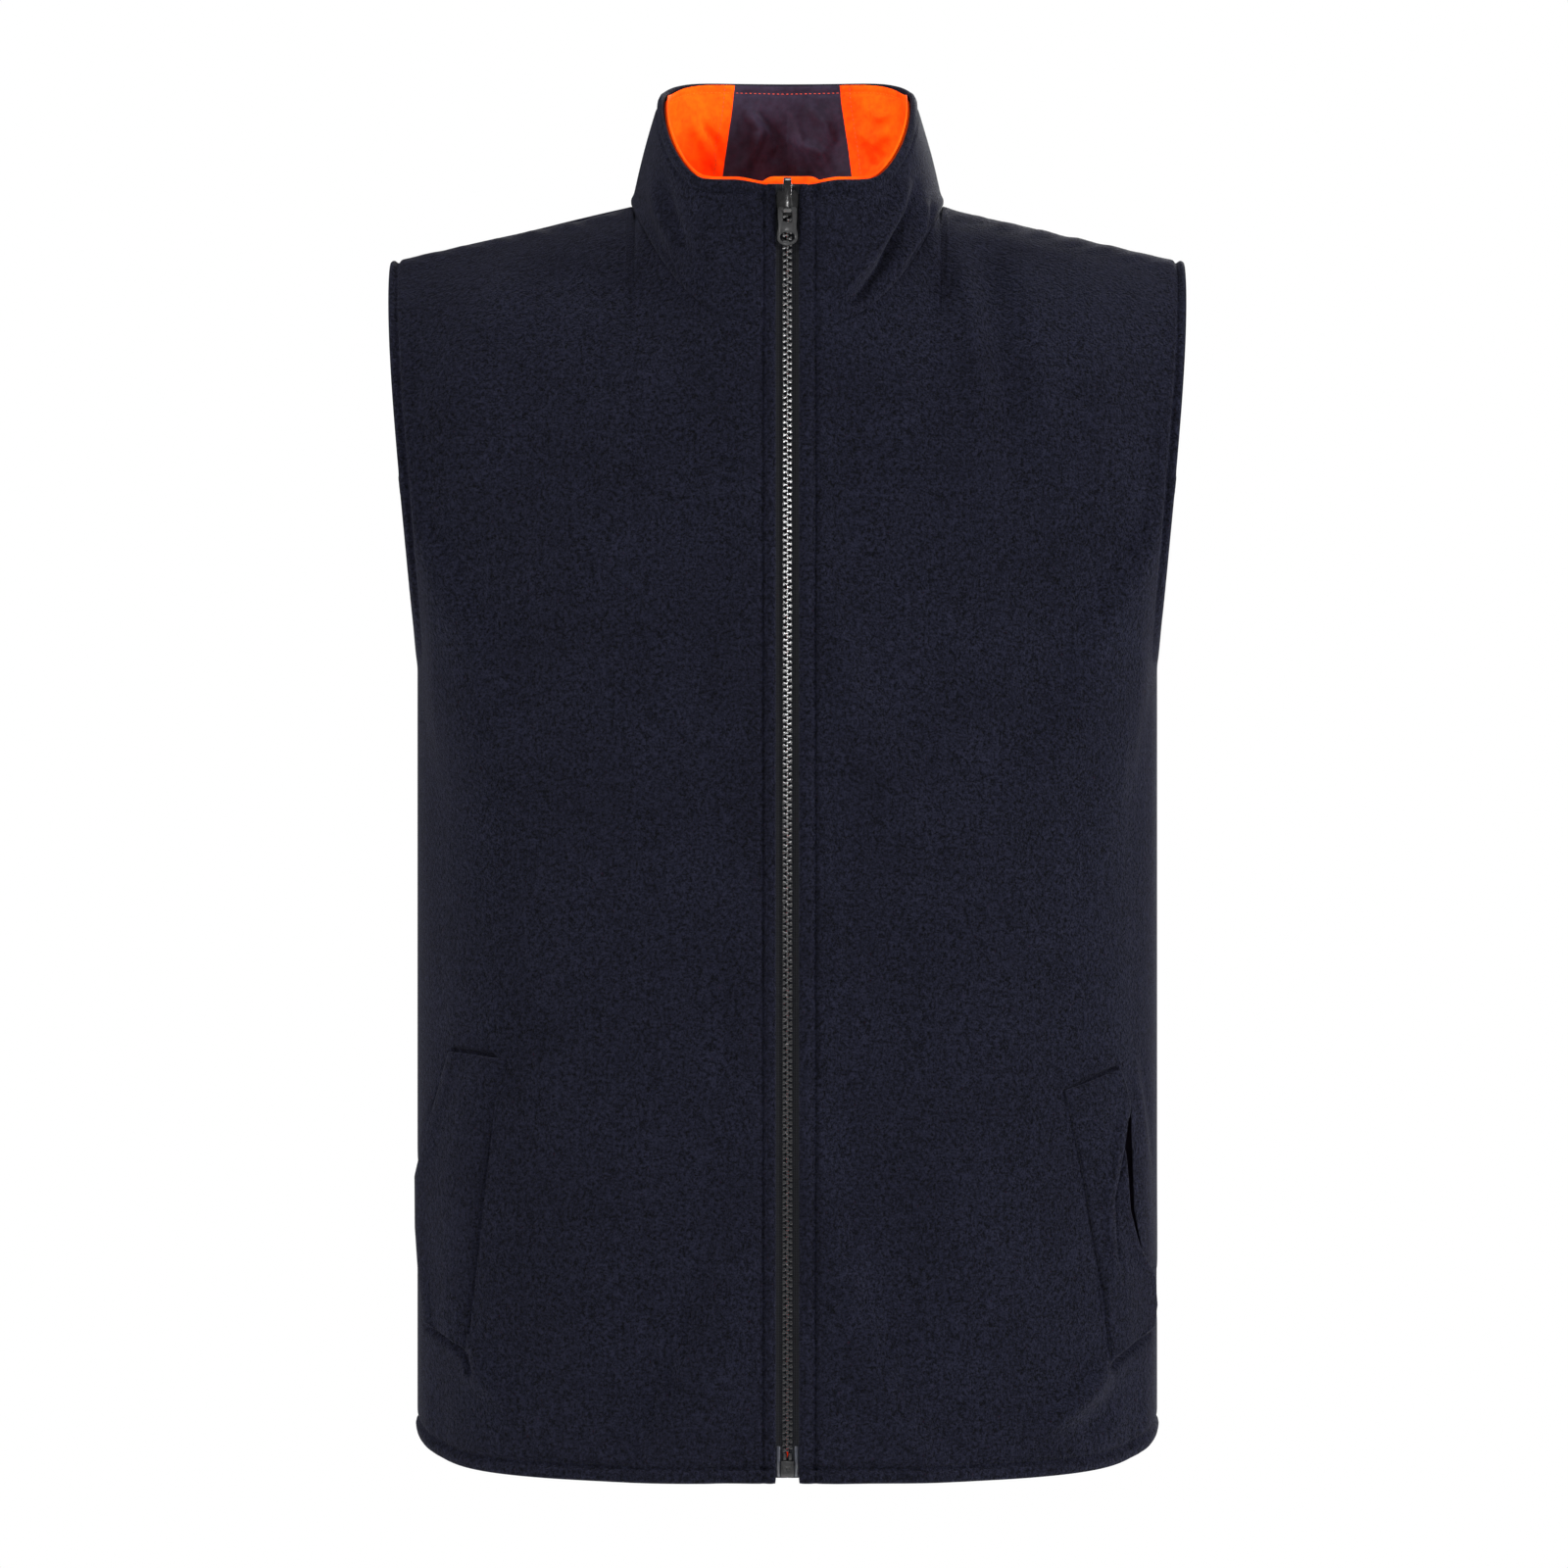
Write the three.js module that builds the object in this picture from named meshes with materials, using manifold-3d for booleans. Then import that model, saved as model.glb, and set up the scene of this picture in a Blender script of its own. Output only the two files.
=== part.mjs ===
// Reversible sleeveless vest, worn fleece side out: a navy fleece outside, a blaze orange
// woven shell inside, a stand collar, two welt hand pockets and a full length moulded zip.
//
// Millimetres. +Z is up, the front faces -Y and +X is the wearer's left. The origin is in the
// middle of the neck opening, level with the points where the shoulders meet the collar.

import * as THREE from 'three';
import Module from 'manifold-3d';

// ---------------------------------------------------------------- body of the vest
const TORSO_HALF_WIDTH = 213;
const TORSO_HALF_DEPTH = 115;
const TORSO_CENTRE_Y = 15;
const TORSO_ROUNDNESS = 3;
const HEM_Z = -725;
const HEM_SWEEP = 8;
const HEM_CORNER = 14;
const UNDERARM_Z = -268;
const SHOULDER_TIP_X = TORSO_HALF_WIDTH + 15;
const SHOULDER_SLOPE = 0.229;
const ARMHOLE_RISE = 240;
const ARMHOLE_SPREAD = 42;
const ARMHOLE_SPREAD_RISE = 110;

const FRONT_SHOULDER_FALL = 140;
const FRONT_SHOULDER_CURVE = 2.2;
const BACK_SHOULDER_FALL = 150;
const BACK_SHOULDER_CURVE = 1.5;

// ---------------------------------------------------------------- neck and collar
const NECK_HALF_WIDTH = 90;
const NECK_FRONT_Z = -77;
const NECK_FRONT_CURVE = 2.8;
const NECK_BACK_Z = -10;
const COLLAR_TOP_HALF_WIDTH = 73;
const COLLAR_FRONT_HEIGHT = 82;
const COLLAR_BACK_HEIGHT = 85;
const COLLAR_CROWN = 7;
const COLLAR_BULGE = 1.2;
const COLLAR_ROUNDNESS = 3;

// ---------------------------------------------------------------- cloth
const FLEECE_THICKNESS = 3;
const SHELL_THICKNESS = 1;
const SHELL_DEPTH = FLEECE_THICKNESS + 1.6;
const SHELL_END = SHELL_DEPTH + SHELL_THICKNESS;
const SEAM_GAP = 0.5;
const SHELL_INSET = 1.5;

// ---------------------------------------------------------------- zip
const FRONT_Y = TORSO_CENTRE_Y - TORSO_HALF_DEPTH;
const FLEECE_EDGE_X = 6.5;
const TAPE_THICKNESS = 0.6;
const TAPE_Y = FRONT_Y + FLEECE_THICKNESS + 0.6 + TAPE_THICKNESS / 2;
const TAPE_OUTER_X = 11;
const CHAIN_HALF_WIDTH = 2.9;
const CHAIN_INNER_X = 0.75;
const CHAIN_HALF_THICKNESS = 1.3;
const COLLAR_FRONT_TOP_Z = NECK_FRONT_Z + COLLAR_FRONT_HEIGHT;
const CHAIN_TOP_Z = COLLAR_FRONT_TOP_Z - 3.5;
const BOX_BOTTOM_Z = HEM_Z + 3.2;
const BOX_TOP_Z = BOX_BOTTOM_Z + 8.6;
const CHAIN_BOTTOM_Z = BOX_TOP_Z + 4.6;

// ---------------------------------------------------------------- slider and pull
const SLIDER_TOP_Z = COLLAR_FRONT_TOP_Z - 5;
const SLIDER_LENGTH = 14;
const SLIDER_HALF_WIDTH = 6;
const PLATE_THICKNESS = 1.4;
const CHANNEL_HALF = CHAIN_HALF_THICKNESS + 0.35;
const POST_HALF_WIDTH = 0.45;
const RAIL_HALF_WIDTH = 2.25;
const RAIL_THICKNESS = 1.3;
const PULL_THICKNESS = 1.6;
const PULL_SLOT_HALF_WIDTH = 2.65;
const PULL_SLOT_LENGTH = 6.6;
const PULL_LENGTH = 21.5;

// ---------------------------------------------------------------- pockets
const POCKET_DEPTH = 13;
const POCKET_TOP_Z = -487;
const POCKET_BOTTOM_Z = -654;
const POCKET_MOUTH_X = TORSO_HALF_WIDTH - 6.5;
const WELT_FREE_X = POCKET_MOUTH_X - 6.5;
const WELT_SEWN_TOP_X = TORSO_HALF_WIDTH - 52;
const WELT_SEWN_BOTTOM_X = TORSO_HALF_WIDTH - 29;
const BAG_INNER_X = TORSO_HALF_WIDTH - 153;
const BAG_TOP_Z = POCKET_TOP_Z + 17;
const BAG_BOTTOM_Z = HEM_Z + 28;

// ---------------------------------------------------------------- storm flap and hanger loop
const FLAP_RIGHT_X = -16.3;
const FLAP_HINGE_X = 19.2;
const FLAP_BEAD_RADIUS = 2.6;
const FLAP_THICKNESS = 1.2;
const LOOP_HALF_WIDTH = 26;
const LOOP_DROP = 20;
const LOOP_BAND = 6;
const LOOP_THICKNESS = 1.2;

const COLOURS = {
  fleece: 0x1a1e2d,
  orange: 0xff6e00,
  navyWoven: 0x2d2a3e,
  tape: 0x14151a,
  plastic: 0x101114,
  film: 0x3a3c44,
};

const wasm = await Module();
wasm.setup();
const group = new THREE.Group();

// ================================================================ helpers

function mix(a, b, t) {
  return a + (b - a) * t;
}

function smooth(t) {
  const s = Math.min(1, Math.max(0, t));
  return s * s * (3 - 2 * s);
}

function spread(count) {
  return Array.from({ length: count + 1 }, (_, i) => i / count);
}

function addPiece(name, geometry, colour) {
  const material = new THREE.MeshStandardMaterial({ color: colour, roughness: 0.8 });
  const mesh = new THREE.Mesh(geometry, material);
  mesh.name = name;
  group.add(mesh);
  return mesh;
}

function signedVolume(points, index) {
  let volume = 0;
  for (let i = 0; i < index.length; i += 3) {
    const [a, b, c] = [points[index[i]], points[index[i + 1]], points[index[i + 2]]];
    volume += a.dot(new THREE.Vector3().crossVectors(b, c)) / 6;
  }
  return volume;
}

// A closed slab between two grids of points, given as rows of points.
function slab(outer, inner) {
  const rows = outer.length;
  const columns = outer[0].length;
  const points = [...outer.flat(), ...inner.flat()];
  const index = [];
  const out = (j, i) => j * columns + i;
  const back = (j, i) => rows * columns + j * columns + i;
  const quad = (a, b, c, d) => index.push(a, b, c, a, c, d);
  for (let j = 0; j < rows - 1; j += 1) {
    for (let i = 0; i < columns - 1; i += 1) {
      quad(out(j, i), out(j, i + 1), out(j + 1, i + 1), out(j + 1, i));
      quad(back(j, i), back(j + 1, i), back(j + 1, i + 1), back(j, i + 1));
    }
  }
  for (let i = 0; i < columns - 1; i += 1) {
    quad(out(0, i + 1), out(0, i), back(0, i), back(0, i + 1));
    quad(out(rows - 1, i), out(rows - 1, i + 1), back(rows - 1, i + 1), back(rows - 1, i));
  }
  for (let j = 0; j < rows - 1; j += 1) {
    quad(out(j, 0), out(j + 1, 0), back(j + 1, 0), back(j, 0));
    quad(out(j + 1, columns - 1), out(j, columns - 1), back(j, columns - 1), back(j + 1, columns - 1));
  }
  if (signedVolume(points, index) < 0) {
    index.reverse();
  }
  const geometry = new THREE.BufferGeometry();
  const flat = points.flatMap((p) => [p.x, p.y, p.z]);
  geometry.setAttribute('position', new THREE.Float32BufferAttribute(flat, 3));
  geometry.setIndex(index);
  return geometry;
}

// Unit normals of a grid of points, turned to the side the guide vector points to.
function gridNormals(grid, guide) {
  const rows = grid.length;
  const columns = grid[0].length;
  return grid.map((row, j) => row.map((point, i) => {
    const across = grid[j][Math.min(i + 1, columns - 1)].clone().sub(grid[j][Math.max(i - 1, 0)]);
    const up = grid[Math.min(j + 1, rows - 1)][i].clone().sub(grid[Math.max(j - 1, 0)][i]);
    const normal = across.cross(up).normalize();
    return normal.dot(guide(point)) < 0 ? normal.negate() : normal;
  }));
}

function offsetGrid(grid, normals, depth) {
  return grid.map((row, j) => row.map((point, i) => {
    const d = typeof depth === 'function' ? depth(point) : depth;
    return point.clone().addScaledVector(normals[j][i], -d);
  }));
}

function mirrored(grid) {
  return grid.map((row) => row.map((p) => new THREE.Vector3(-p.x, p.y, p.z)));
}

function toSolid(geometry) {
  const source = geometry.index ? geometry : geometry.clone();
  const position = source.getAttribute('position');
  const keys = new Map();
  const vertices = [];
  const remap = [];
  for (let i = 0; i < position.count; i += 1) {
    const p = [position.getX(i), position.getY(i), position.getZ(i)];
    const key = p.map((value) => value.toFixed(4)).join(' ');
    if (!keys.has(key)) {
      keys.set(key, vertices.length / 3);
      vertices.push(...p);
    }
    remap.push(keys.get(key));
  }
  const order = source.index ? Array.from(source.index.array) : remap.map((_, i) => i);
  const triangles = [];
  for (let i = 0; i < order.length; i += 3) {
    const [a, b, c] = [remap[order[i]], remap[order[i + 1]], remap[order[i + 2]]];
    if (a !== b && b !== c && c !== a) {
      triangles.push(a, b, c);
    }
  }
  return new wasm.Manifold(new wasm.Mesh({
    numProp: 3,
    vertProperties: Float32Array.from(vertices),
    triVerts: Uint32Array.from(triangles),
  }));
}

function toGeometry(solid) {
  const mesh = solid.getMesh();
  const geometry = new THREE.BufferGeometry();
  geometry.setAttribute('position', new THREE.Float32BufferAttribute(mesh.vertProperties, 3));
  geometry.setIndex(Array.from(mesh.triVerts));
  return geometry;
}

function block(x0, x1, y0, y1, z0, z1) {
  const geometry = new THREE.BoxGeometry(x1 - x0, y1 - y0, z1 - z0);
  geometry.translate((x0 + x1) / 2, (y0 + y1) / 2, (z0 + z1) / 2);
  return geometry;
}

// A prism from an outline in the XZ plane, from y0 to y1.
function prismAlongY(outline, y0, y1, holes = []) {
  const shape = new THREE.Shape(outline.map(([x, z]) => new THREE.Vector2(x, z)));
  holes.forEach((hole) => {
    shape.holes.push(new THREE.Path(hole.map(([x, z]) => new THREE.Vector2(x, z))));
  });
  const geometry = new THREE.ExtrudeGeometry(shape, { depth: y1 - y0, bevelEnabled: false });
  geometry.rotateX(Math.PI / 2);
  geometry.translate(0, y1, 0);
  return geometry;
}

// A prism from an outline in the YZ plane, from x0 to x1.
function prismAlongX(outline, x0, x1) {
  const shape = new THREE.Shape(outline.map(([y, z]) => new THREE.Vector2(y, z)));
  const geometry = new THREE.ExtrudeGeometry(shape, { depth: x1 - x0, bevelEnabled: false });
  const turn = new THREE.Matrix4().set(0, 0, 1, x0, 1, 0, 0, 0, 0, 1, 0, 0, 0, 0, 0, 1);
  geometry.applyMatrix4(turn);
  return geometry;
}

// ================================================================ shape of the torso

function shoulderZ(x) {
  return -SHOULDER_SLOPE * (Math.abs(x) - NECK_HALF_WIDTH);
}

function edgeX(z) {
  return mix(TORSO_HALF_WIDTH, SHOULDER_TIP_X, smooth((z - UNDERARM_Z) / ARMHOLE_RISE));
}

function reachX(z) {
  return TORSO_HALF_WIDTH + ARMHOLE_SPREAD * smooth((z - UNDERARM_Z) / ARMHOLE_SPREAD_RISE);
}

// The hem sweeps up a little towards the sides and turns up at the side seams.
function hemZ(x) {
  const share = Math.min(1, Math.abs(x) / TORSO_HALF_WIDTH);
  return HEM_Z + HEM_SWEEP * share ** 3.5 + HEM_CORNER * share ** 20;
}

function neckZ(x, face) {
  const share = Math.min(1, Math.abs(x) / NECK_HALF_WIDTH);
  if (face < 0) {
    return NECK_FRONT_Z * (1 - share ** NECK_FRONT_CURVE);
  }
  return NECK_BACK_Z * (1 - share ** 2);
}

function topZ(x, face) {
  return Math.abs(x) < NECK_HALF_WIDTH ? neckZ(x, face) : shoulderZ(x);
}

// Where the cloth lies in Y: face is -1 for the front and +1 for the back.
function torsoY(x, z, face) {
  const across = Math.min(1, Math.abs(x) / reachX(z));
  const round = (1 - across ** TORSO_ROUNDNESS) ** (1 / TORSO_ROUNDNESS);
  const fall = face < 0 ? FRONT_SHOULDER_FALL : BACK_SHOULDER_FALL;
  const curve = face < 0 ? FRONT_SHOULDER_CURVE : BACK_SHOULDER_CURVE;
  const drop = Math.min(1, Math.max(0, (shoulderZ(x) - z) / fall));
  const shoulder = (1 - (1 - drop) ** curve) ** (1 / curve);
  const centred = face < 0 ? smooth(Math.abs(x) / 70 - 0.1) : 1;
  const depth = TORSO_HALF_DEPTH * round * mix(1, shoulder, centred);
  return TORSO_CENTRE_Y + face * Math.max(depth, SEAM_GAP / 2);
}

const NECK_COLUMNS = [0, 0.22, 0.39, 0.55, 0.69, 0.81, 0.9, 0.96, 0.99, 1];
const SHOULDER_COLUMNS = [0.16, 0.34, 0.52, 0.69, 0.83, 0.92, 0.975, 0.994, 1];
const LOWER_ROWS = spread(4);
const UPPER_ROWS = [0.035, 0.09, 0.18, 0.3, 0.43, 0.57, 0.7, 0.82, 0.91, 0.965, 0.99, 1];

function columnShares(startX) {
  const neck = NECK_COLUMNS.map((s) => mix(startX, NECK_HALF_WIDTH, s));
  const shoulder = SHOULDER_COLUMNS.map((s) => mix(NECK_HALF_WIDTH, SHOULDER_TIP_X, s));
  return [...neck, ...shoulder].map((x) => (x - startX) / (SHOULDER_TIP_X - startX));
}

function torsoPoint(face, startX, share, rowZ, inset) {
  const topX = mix(startX, SHOULDER_TIP_X, share);
  const high = topZ(topX, face) - inset;
  const low = hemZ(mix(startX, TORSO_HALF_WIDTH, share)) + inset;
  const z = rowZ(low, high);
  const x = mix(startX, edgeX(z) - inset, share);
  return new THREE.Vector3(x, torsoY(x, z, face), z);
}

// One side of the torso, from the line X = startX out to the side seam and the armhole.
function torsoHalf(face, startX, shares, lowerRows, upperRows, inset) {
  const lower = lowerRows.map((t) => (low) => mix(low, UNDERARM_Z, t));
  const upper = upperRows.map((t) => (low, high) => mix(UNDERARM_Z, high, t));
  return [...lower, ...upper].map((rowZ) => (
    shares.map((share) => torsoPoint(face, startX, share, rowZ, inset))
  ));
}

// Seams lie in the plane between front and back, so the cloth's thickness stays in it there.
function torsoNormals(grid, face) {
  const guide = (p) => new THREE.Vector3(p.x * 0.4, face * 60, p.z > UNDERARM_Z ? 30 : 0);
  const normals = gridNormals(grid, guide);
  grid.forEach((row, j) => row.forEach((p, i) => {
    if (Math.abs(p.y - TORSO_CENTRE_Y) < SEAM_GAP) {
      const onShoulder = p.z > UNDERARM_Z + 40;
      normals[j][i].y = 0;
      if (onShoulder) {
        normals[j][i].set(Math.sign(p.x) * SHOULDER_SLOPE, 0, 1);
      } else {
        normals[j][i].set(Math.sign(p.x), 0, 0);
      }
      normals[j][i].normalize();
    } else if (face < 0 && Math.abs(p.x) < 24) {
      normals[j][i].set(0, -1, 0);
    }
  }));
  return normals;
}

function torsoSlab(face, startX, shares, lowerRows, upperRows, inset, near, far) {
  let grid = torsoHalf(face, startX, shares, lowerRows, upperRows, inset);
  if (face > 0) {
    grid = grid.map((row) => [
      ...row.slice(1).reverse().map((p) => new THREE.Vector3(-p.x, p.y, p.z)),
      ...row,
    ]);
  }
  const normals = torsoNormals(grid, face);
  return [offsetGrid(grid, normals, near), offsetGrid(grid, normals, far)];
}

// ================================================================ pockets

function bump(x, z, margin) {
  const inX = smooth((Math.abs(x) - BAG_INNER_X + margin) / 26);
  const outX = smooth((TORSO_HALF_WIDTH - 2.4 + margin * 0.2 - Math.abs(x)) / 4);
  const inZ = smooth((z - BAG_BOTTOM_Z + margin) / 26);
  const outZ = smooth((BAG_TOP_Z + margin - z) / 26);
  return inX * outX * inZ * outZ;
}

function shellDepth(extra) {
  return (p) => SHELL_DEPTH + extra + (POCKET_DEPTH + 2.5) * bump(p.x, p.z, 10);
}

function weltSewnX(z) {
  const t = (z - POCKET_BOTTOM_Z) / (POCKET_TOP_Z - POCKET_BOTTOM_Z);
  return mix(WELT_SEWN_BOTTOM_X, WELT_SEWN_TOP_X, t);
}

// The slit in the fleece, seen from the front, on the wearer's left.
function pocketWindow() {
  return [
    [WELT_SEWN_TOP_X, POCKET_TOP_Z - 8],
    [weltSewnX(POCKET_BOTTOM_Z), POCKET_BOTTOM_Z],
    [POCKET_MOUTH_X, POCKET_BOTTOM_Z + 14],
    [POCKET_MOUTH_X, POCKET_TOP_Z - 17],
    [POCKET_MOUTH_X - 15, POCKET_TOP_Z],
  ];
}

function weltSlab() {
  const acrossSteps = spread(5);
  const upSteps = spread(9);
  const clear = 0.6;
  const outer = upSteps.map((v) => acrossSteps.map((u) => {
    const low = mix(POCKET_BOTTOM_Z + 1, POCKET_BOTTOM_Z + 13, u);
    const high = mix(POCKET_TOP_Z - 8.5, POCKET_TOP_Z - 12, u);
    const z = mix(low, high, v);
    const x = mix(weltSewnX(z) + clear, WELT_FREE_X, u);
    const proud = mix(0.6, 3.6, u * Math.sin(Math.PI * mix(0.12, 0.88, v)));
    return new THREE.Vector3(x, torsoY(x, z, -1) - proud, z);
  }));
  const inner = outer.map((row) => row.map((p) => new THREE.Vector3(p.x, p.y + 3.4, p.z)));
  return [outer, inner];
}

function bagSlab() {
  const shares = [
    0, 0.07, 0.14, 0.24, 0.34, 0.44, 0.53, 0.61, 0.69, 0.76, 0.82, 0.875, 0.92, 0.955, 0.98, 1,
  ];
  const steps = [0, 0.057, 0.115, 0.35, 0.62, 0.885, 0.943, 1];
  const outX = TORSO_HALF_WIDTH - 2.4;
  const grid = steps.map((v) => shares.map((u) => {
    const z = mix(BAG_BOTTOM_Z, BAG_TOP_Z, v);
    const x = mix(BAG_INNER_X, outX, u);
    return new THREE.Vector3(x, torsoY(x, z, -1), z);
  }));
  const normals = torsoNormals(grid, -1);
  const depth = (extra) => (p) => FLEECE_THICKNESS + 0.8 + extra + POCKET_DEPTH * bump(p.x, p.z, 0);
  return [offsetGrid(grid, normals, depth(0)), offsetGrid(grid, normals, depth(0.6))];
}

// ================================================================ fleece and shell panels

const frontShares = columnShares(FLEECE_EDGE_X);
const backShares = columnShares(0);

function cutPocket(geometry) {
  const tool = prismAlongY(pocketWindow(), FRONT_Y - 20, TORSO_CENTRE_Y - 4);
  return toGeometry(toSolid(geometry).subtract(toSolid(tool)));
}

const [frontOuter, frontInner] = torsoSlab(
  -1, FLEECE_EDGE_X, frontShares, LOWER_ROWS, UPPER_ROWS, 0, 0, FLEECE_THICKNESS,
);
const fleeceFrontLeft = cutPocket(slab(frontOuter, frontInner));
const fleeceFrontRight = fleeceFrontLeft.clone().applyMatrix4(new THREE.Matrix4().makeScale(-1, 1, 1));
fleeceFrontRight.setIndex(Array.from(fleeceFrontRight.index.array).reverse());
addPiece('fleece_front_right', fleeceFrontRight, COLOURS.fleece);
addPiece('fleece_front_left', fleeceFrontLeft, COLOURS.fleece);

const [backOuter, backInner] = torsoSlab(
  1, 0, backShares, LOWER_ROWS, UPPER_ROWS, 0, 0, FLEECE_THICKNESS,
);
addPiece('fleece_back', slab(backOuter, backInner), COLOURS.fleece);

const SHELL_NECK_X = FLEECE_EDGE_X + 0.5;
const thinned = (shares) => shares.filter((_, i) => i % 2 === 0 || i > 15);
const shellRows = [0, 0.036, 0.058, 0.09, 0.12, 0.3, 0.49, 0.52, 0.556, 0.578, 1];
const [shellOuter, shellInner] = torsoSlab(
  -1, SHELL_NECK_X, columnShares(SHELL_NECK_X), shellRows, UPPER_ROWS, SHELL_INSET,
  shellDepth(0), shellDepth(SHELL_THICKNESS),
);
addPiece('shell_front_right', slab(mirrored(shellOuter), mirrored(shellInner)), COLOURS.orange);
addPiece('shell_front_left', slab(shellOuter, shellInner), COLOURS.orange);

const [shellBackOuter, shellBackInner] = torsoSlab(
  1, 0, thinned(backShares), LOWER_ROWS, UPPER_ROWS, SHELL_INSET, SHELL_DEPTH, SHELL_END,
);
addPiece('shell_back', slab(shellBackOuter, shellBackInner), COLOURS.orange);

const [weltOuter, weltInner] = weltSlab();
addPiece('pocket_welt_right', slab(mirrored(weltOuter), mirrored(weltInner)), COLOURS.fleece);
addPiece('pocket_welt_left', slab(weltOuter, weltInner), COLOURS.fleece);

const [bagOuter, bagInner] = bagSlab();
addPiece('pocket_bag_right', slab(mirrored(bagOuter), mirrored(bagInner)), COLOURS.navyWoven);
addPiece('pocket_bag_left', slab(bagOuter, bagInner), COLOURS.navyWoven);

// ================================================================ collar

// Points along a line, evenly spaced by length.
function resample(line, shares) {
  const lengths = [0];
  for (let i = 1; i < line.length; i += 1) {
    lengths.push(lengths[i - 1] + line[i].distanceTo(line[i - 1]));
  }
  const total = lengths[lengths.length - 1];
  return shares.map((share) => {
    const wanted = share * total;
    const at = Math.max(1, lengths.findIndex((length) => length >= wanted - 1e-9));
    const t = (wanted - lengths[at - 1]) / (lengths[at] - lengths[at - 1]);
    return line[at - 1].clone().lerp(line[at], t);
  });
}

function neckLine() {
  const steps = spread(120);
  const front = steps.map((t) => {
    const x = mix(FLEECE_EDGE_X, NECK_HALF_WIDTH, 1 - (1 - t) ** 2);
    const z = neckZ(x, -1);
    return new THREE.Vector3(x, torsoY(x, z, -1), z);
  });
  const back = steps.map((t) => {
    const x = NECK_HALF_WIDTH * (1 - t * t);
    const z = neckZ(x, 1);
    return new THREE.Vector3(x, torsoY(x, z, 1), z);
  });
  return [...front, ...back];
}

function collarTopLine() {
  const backY = torsoY(0, NECK_BACK_Z, 1) - 3;
  const halfDepth = (backY - FRONT_Y) / 2;
  const middleY = (backY + FRONT_Y) / 2;
  const power = 2 / COLLAR_ROUNDNESS;
  const start = Math.asin((FLEECE_EDGE_X / COLLAR_TOP_HALF_WIDTH) ** (1 / power));
  return spread(240).map((t) => {
    const angle = mix(start, Math.PI, t);
    const x = COLLAR_TOP_HALF_WIDTH * Math.abs(Math.sin(angle)) ** power;
    const y = middleY - halfDepth * Math.sign(Math.cos(angle)) * Math.abs(Math.cos(angle)) ** power;
    const along = (y - FRONT_Y) / (backY - FRONT_Y);
    const rise = 1 - (1 - Math.max(0, (along - 0.07) / 0.93)) ** 3;
    const crown = COLLAR_CROWN * smooth((along - 0.66) / 0.34);
    const z = mix(COLLAR_FRONT_TOP_Z, NECK_BACK_Z + COLLAR_BACK_HEIGHT - COLLAR_CROWN, rise) + crown;
    return new THREE.Vector3(x, y, z);
  });
}

function collarHalf(shares, rows, baseLift, topLift) {
  const base = resample(neckLine(), shares);
  const top = resample(collarTopLine(), shares);
  return rows.map((v) => shares.map((_, i) => {
    const up = top[i].clone().sub(base[i]).normalize();
    const low = base[i].clone().addScaledVector(up, baseLift);
    const high = top[i].clone().addScaledVector(up, topLift);
    const point = low.lerp(high, v);
    const bulge = COLLAR_BULGE * Math.sin(Math.PI * v) * smooth(Math.abs(point.x) / 60 - 0.2);
    point.x += bulge;
    return point;
  }));
}

function collarNormals(grid) {
  const guide = (p) => new THREE.Vector3(p.x, p.y + 20, 0);
  const normals = gridNormals(grid, guide);
  grid.forEach((row, j) => row.forEach((p, i) => {
    if (Math.abs(p.x) < 24 && p.y < -60) {
      normals[j][i].set(0, -1, 0);
    } else if (Math.abs(p.x) < 0.01) {
      normals[j][i].x = 0;
      normals[j][i].normalize();
    } else if (j === 0) {
      normals[j][i].z = 0;
      normals[j][i].normalize();
    }
  }));
  return normals;
}

function bothHalves(grid) {
  return grid.map((row) => [
    ...row.map((p) => new THREE.Vector3(-p.x, p.y, p.z)),
    ...row.slice(0, -1).reverse(),
  ]);
}

const collarShares = [0, 0.045, ...spread(15).slice(1).map((t) => mix(0.045, 1, t))];
const collarRows = spread(5);
const collarGrid = bothHalves(collarHalf(collarShares, collarRows, 0.7, 0));
const collarOut = collarNormals(collarGrid);
const collarFleece = slab(collarGrid, offsetGrid(collarGrid, collarOut, FLEECE_THICKNESS));
addPiece('fleece_collar', collarFleece, COLOURS.fleece);

// The lining is orange in front and at the sides, and dark behind the neck.
const LINING_JOIN = 0.868;
const LINING_GAP = 0.002;
const frontLining = [0, 0.045, ...spread(10).slice(1).map((t) => mix(0.045, LINING_JOIN, t))];
const backLining = spread(3).map((t) => mix(LINING_JOIN + LINING_GAP, 1, t));
const liningGrid = bothHalves(collarHalf([...frontLining, ...backLining], spread(4), 1.2, 0.8));
const liningOut = collarNormals(liningGrid);
const joinColumn = frontLining.length;
[joinColumn, liningGrid[0].length - joinColumn].forEach((at) => liningOut.forEach((row) => {
  const shared = row[at - 1].clone().add(row[at]).normalize();
  row[at - 1].copy(shared);
  row[at].copy(shared);
}));
const liningOuter = offsetGrid(liningGrid, liningOut, SHELL_DEPTH);
const liningInner = offsetGrid(liningGrid, liningOut, SHELL_END);

function liningPiece(name, from, to, colour) {
  const outer = liningOuter.map((row) => row.slice(from, to));
  const inner = liningInner.map((row) => row.slice(from, to));
  addPiece(name, slab(outer, inner), colour);
}

const liningColumns = liningGrid[0].length;
liningPiece('collar_lining_right', 0, frontLining.length, COLOURS.orange);
liningPiece(
  'collar_lining_centre', frontLining.length, liningColumns - frontLining.length, COLOURS.navyWoven,
);
liningPiece('collar_lining_left', liningColumns - frontLining.length, liningColumns, COLOURS.orange);

// ================================================================ zip

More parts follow.
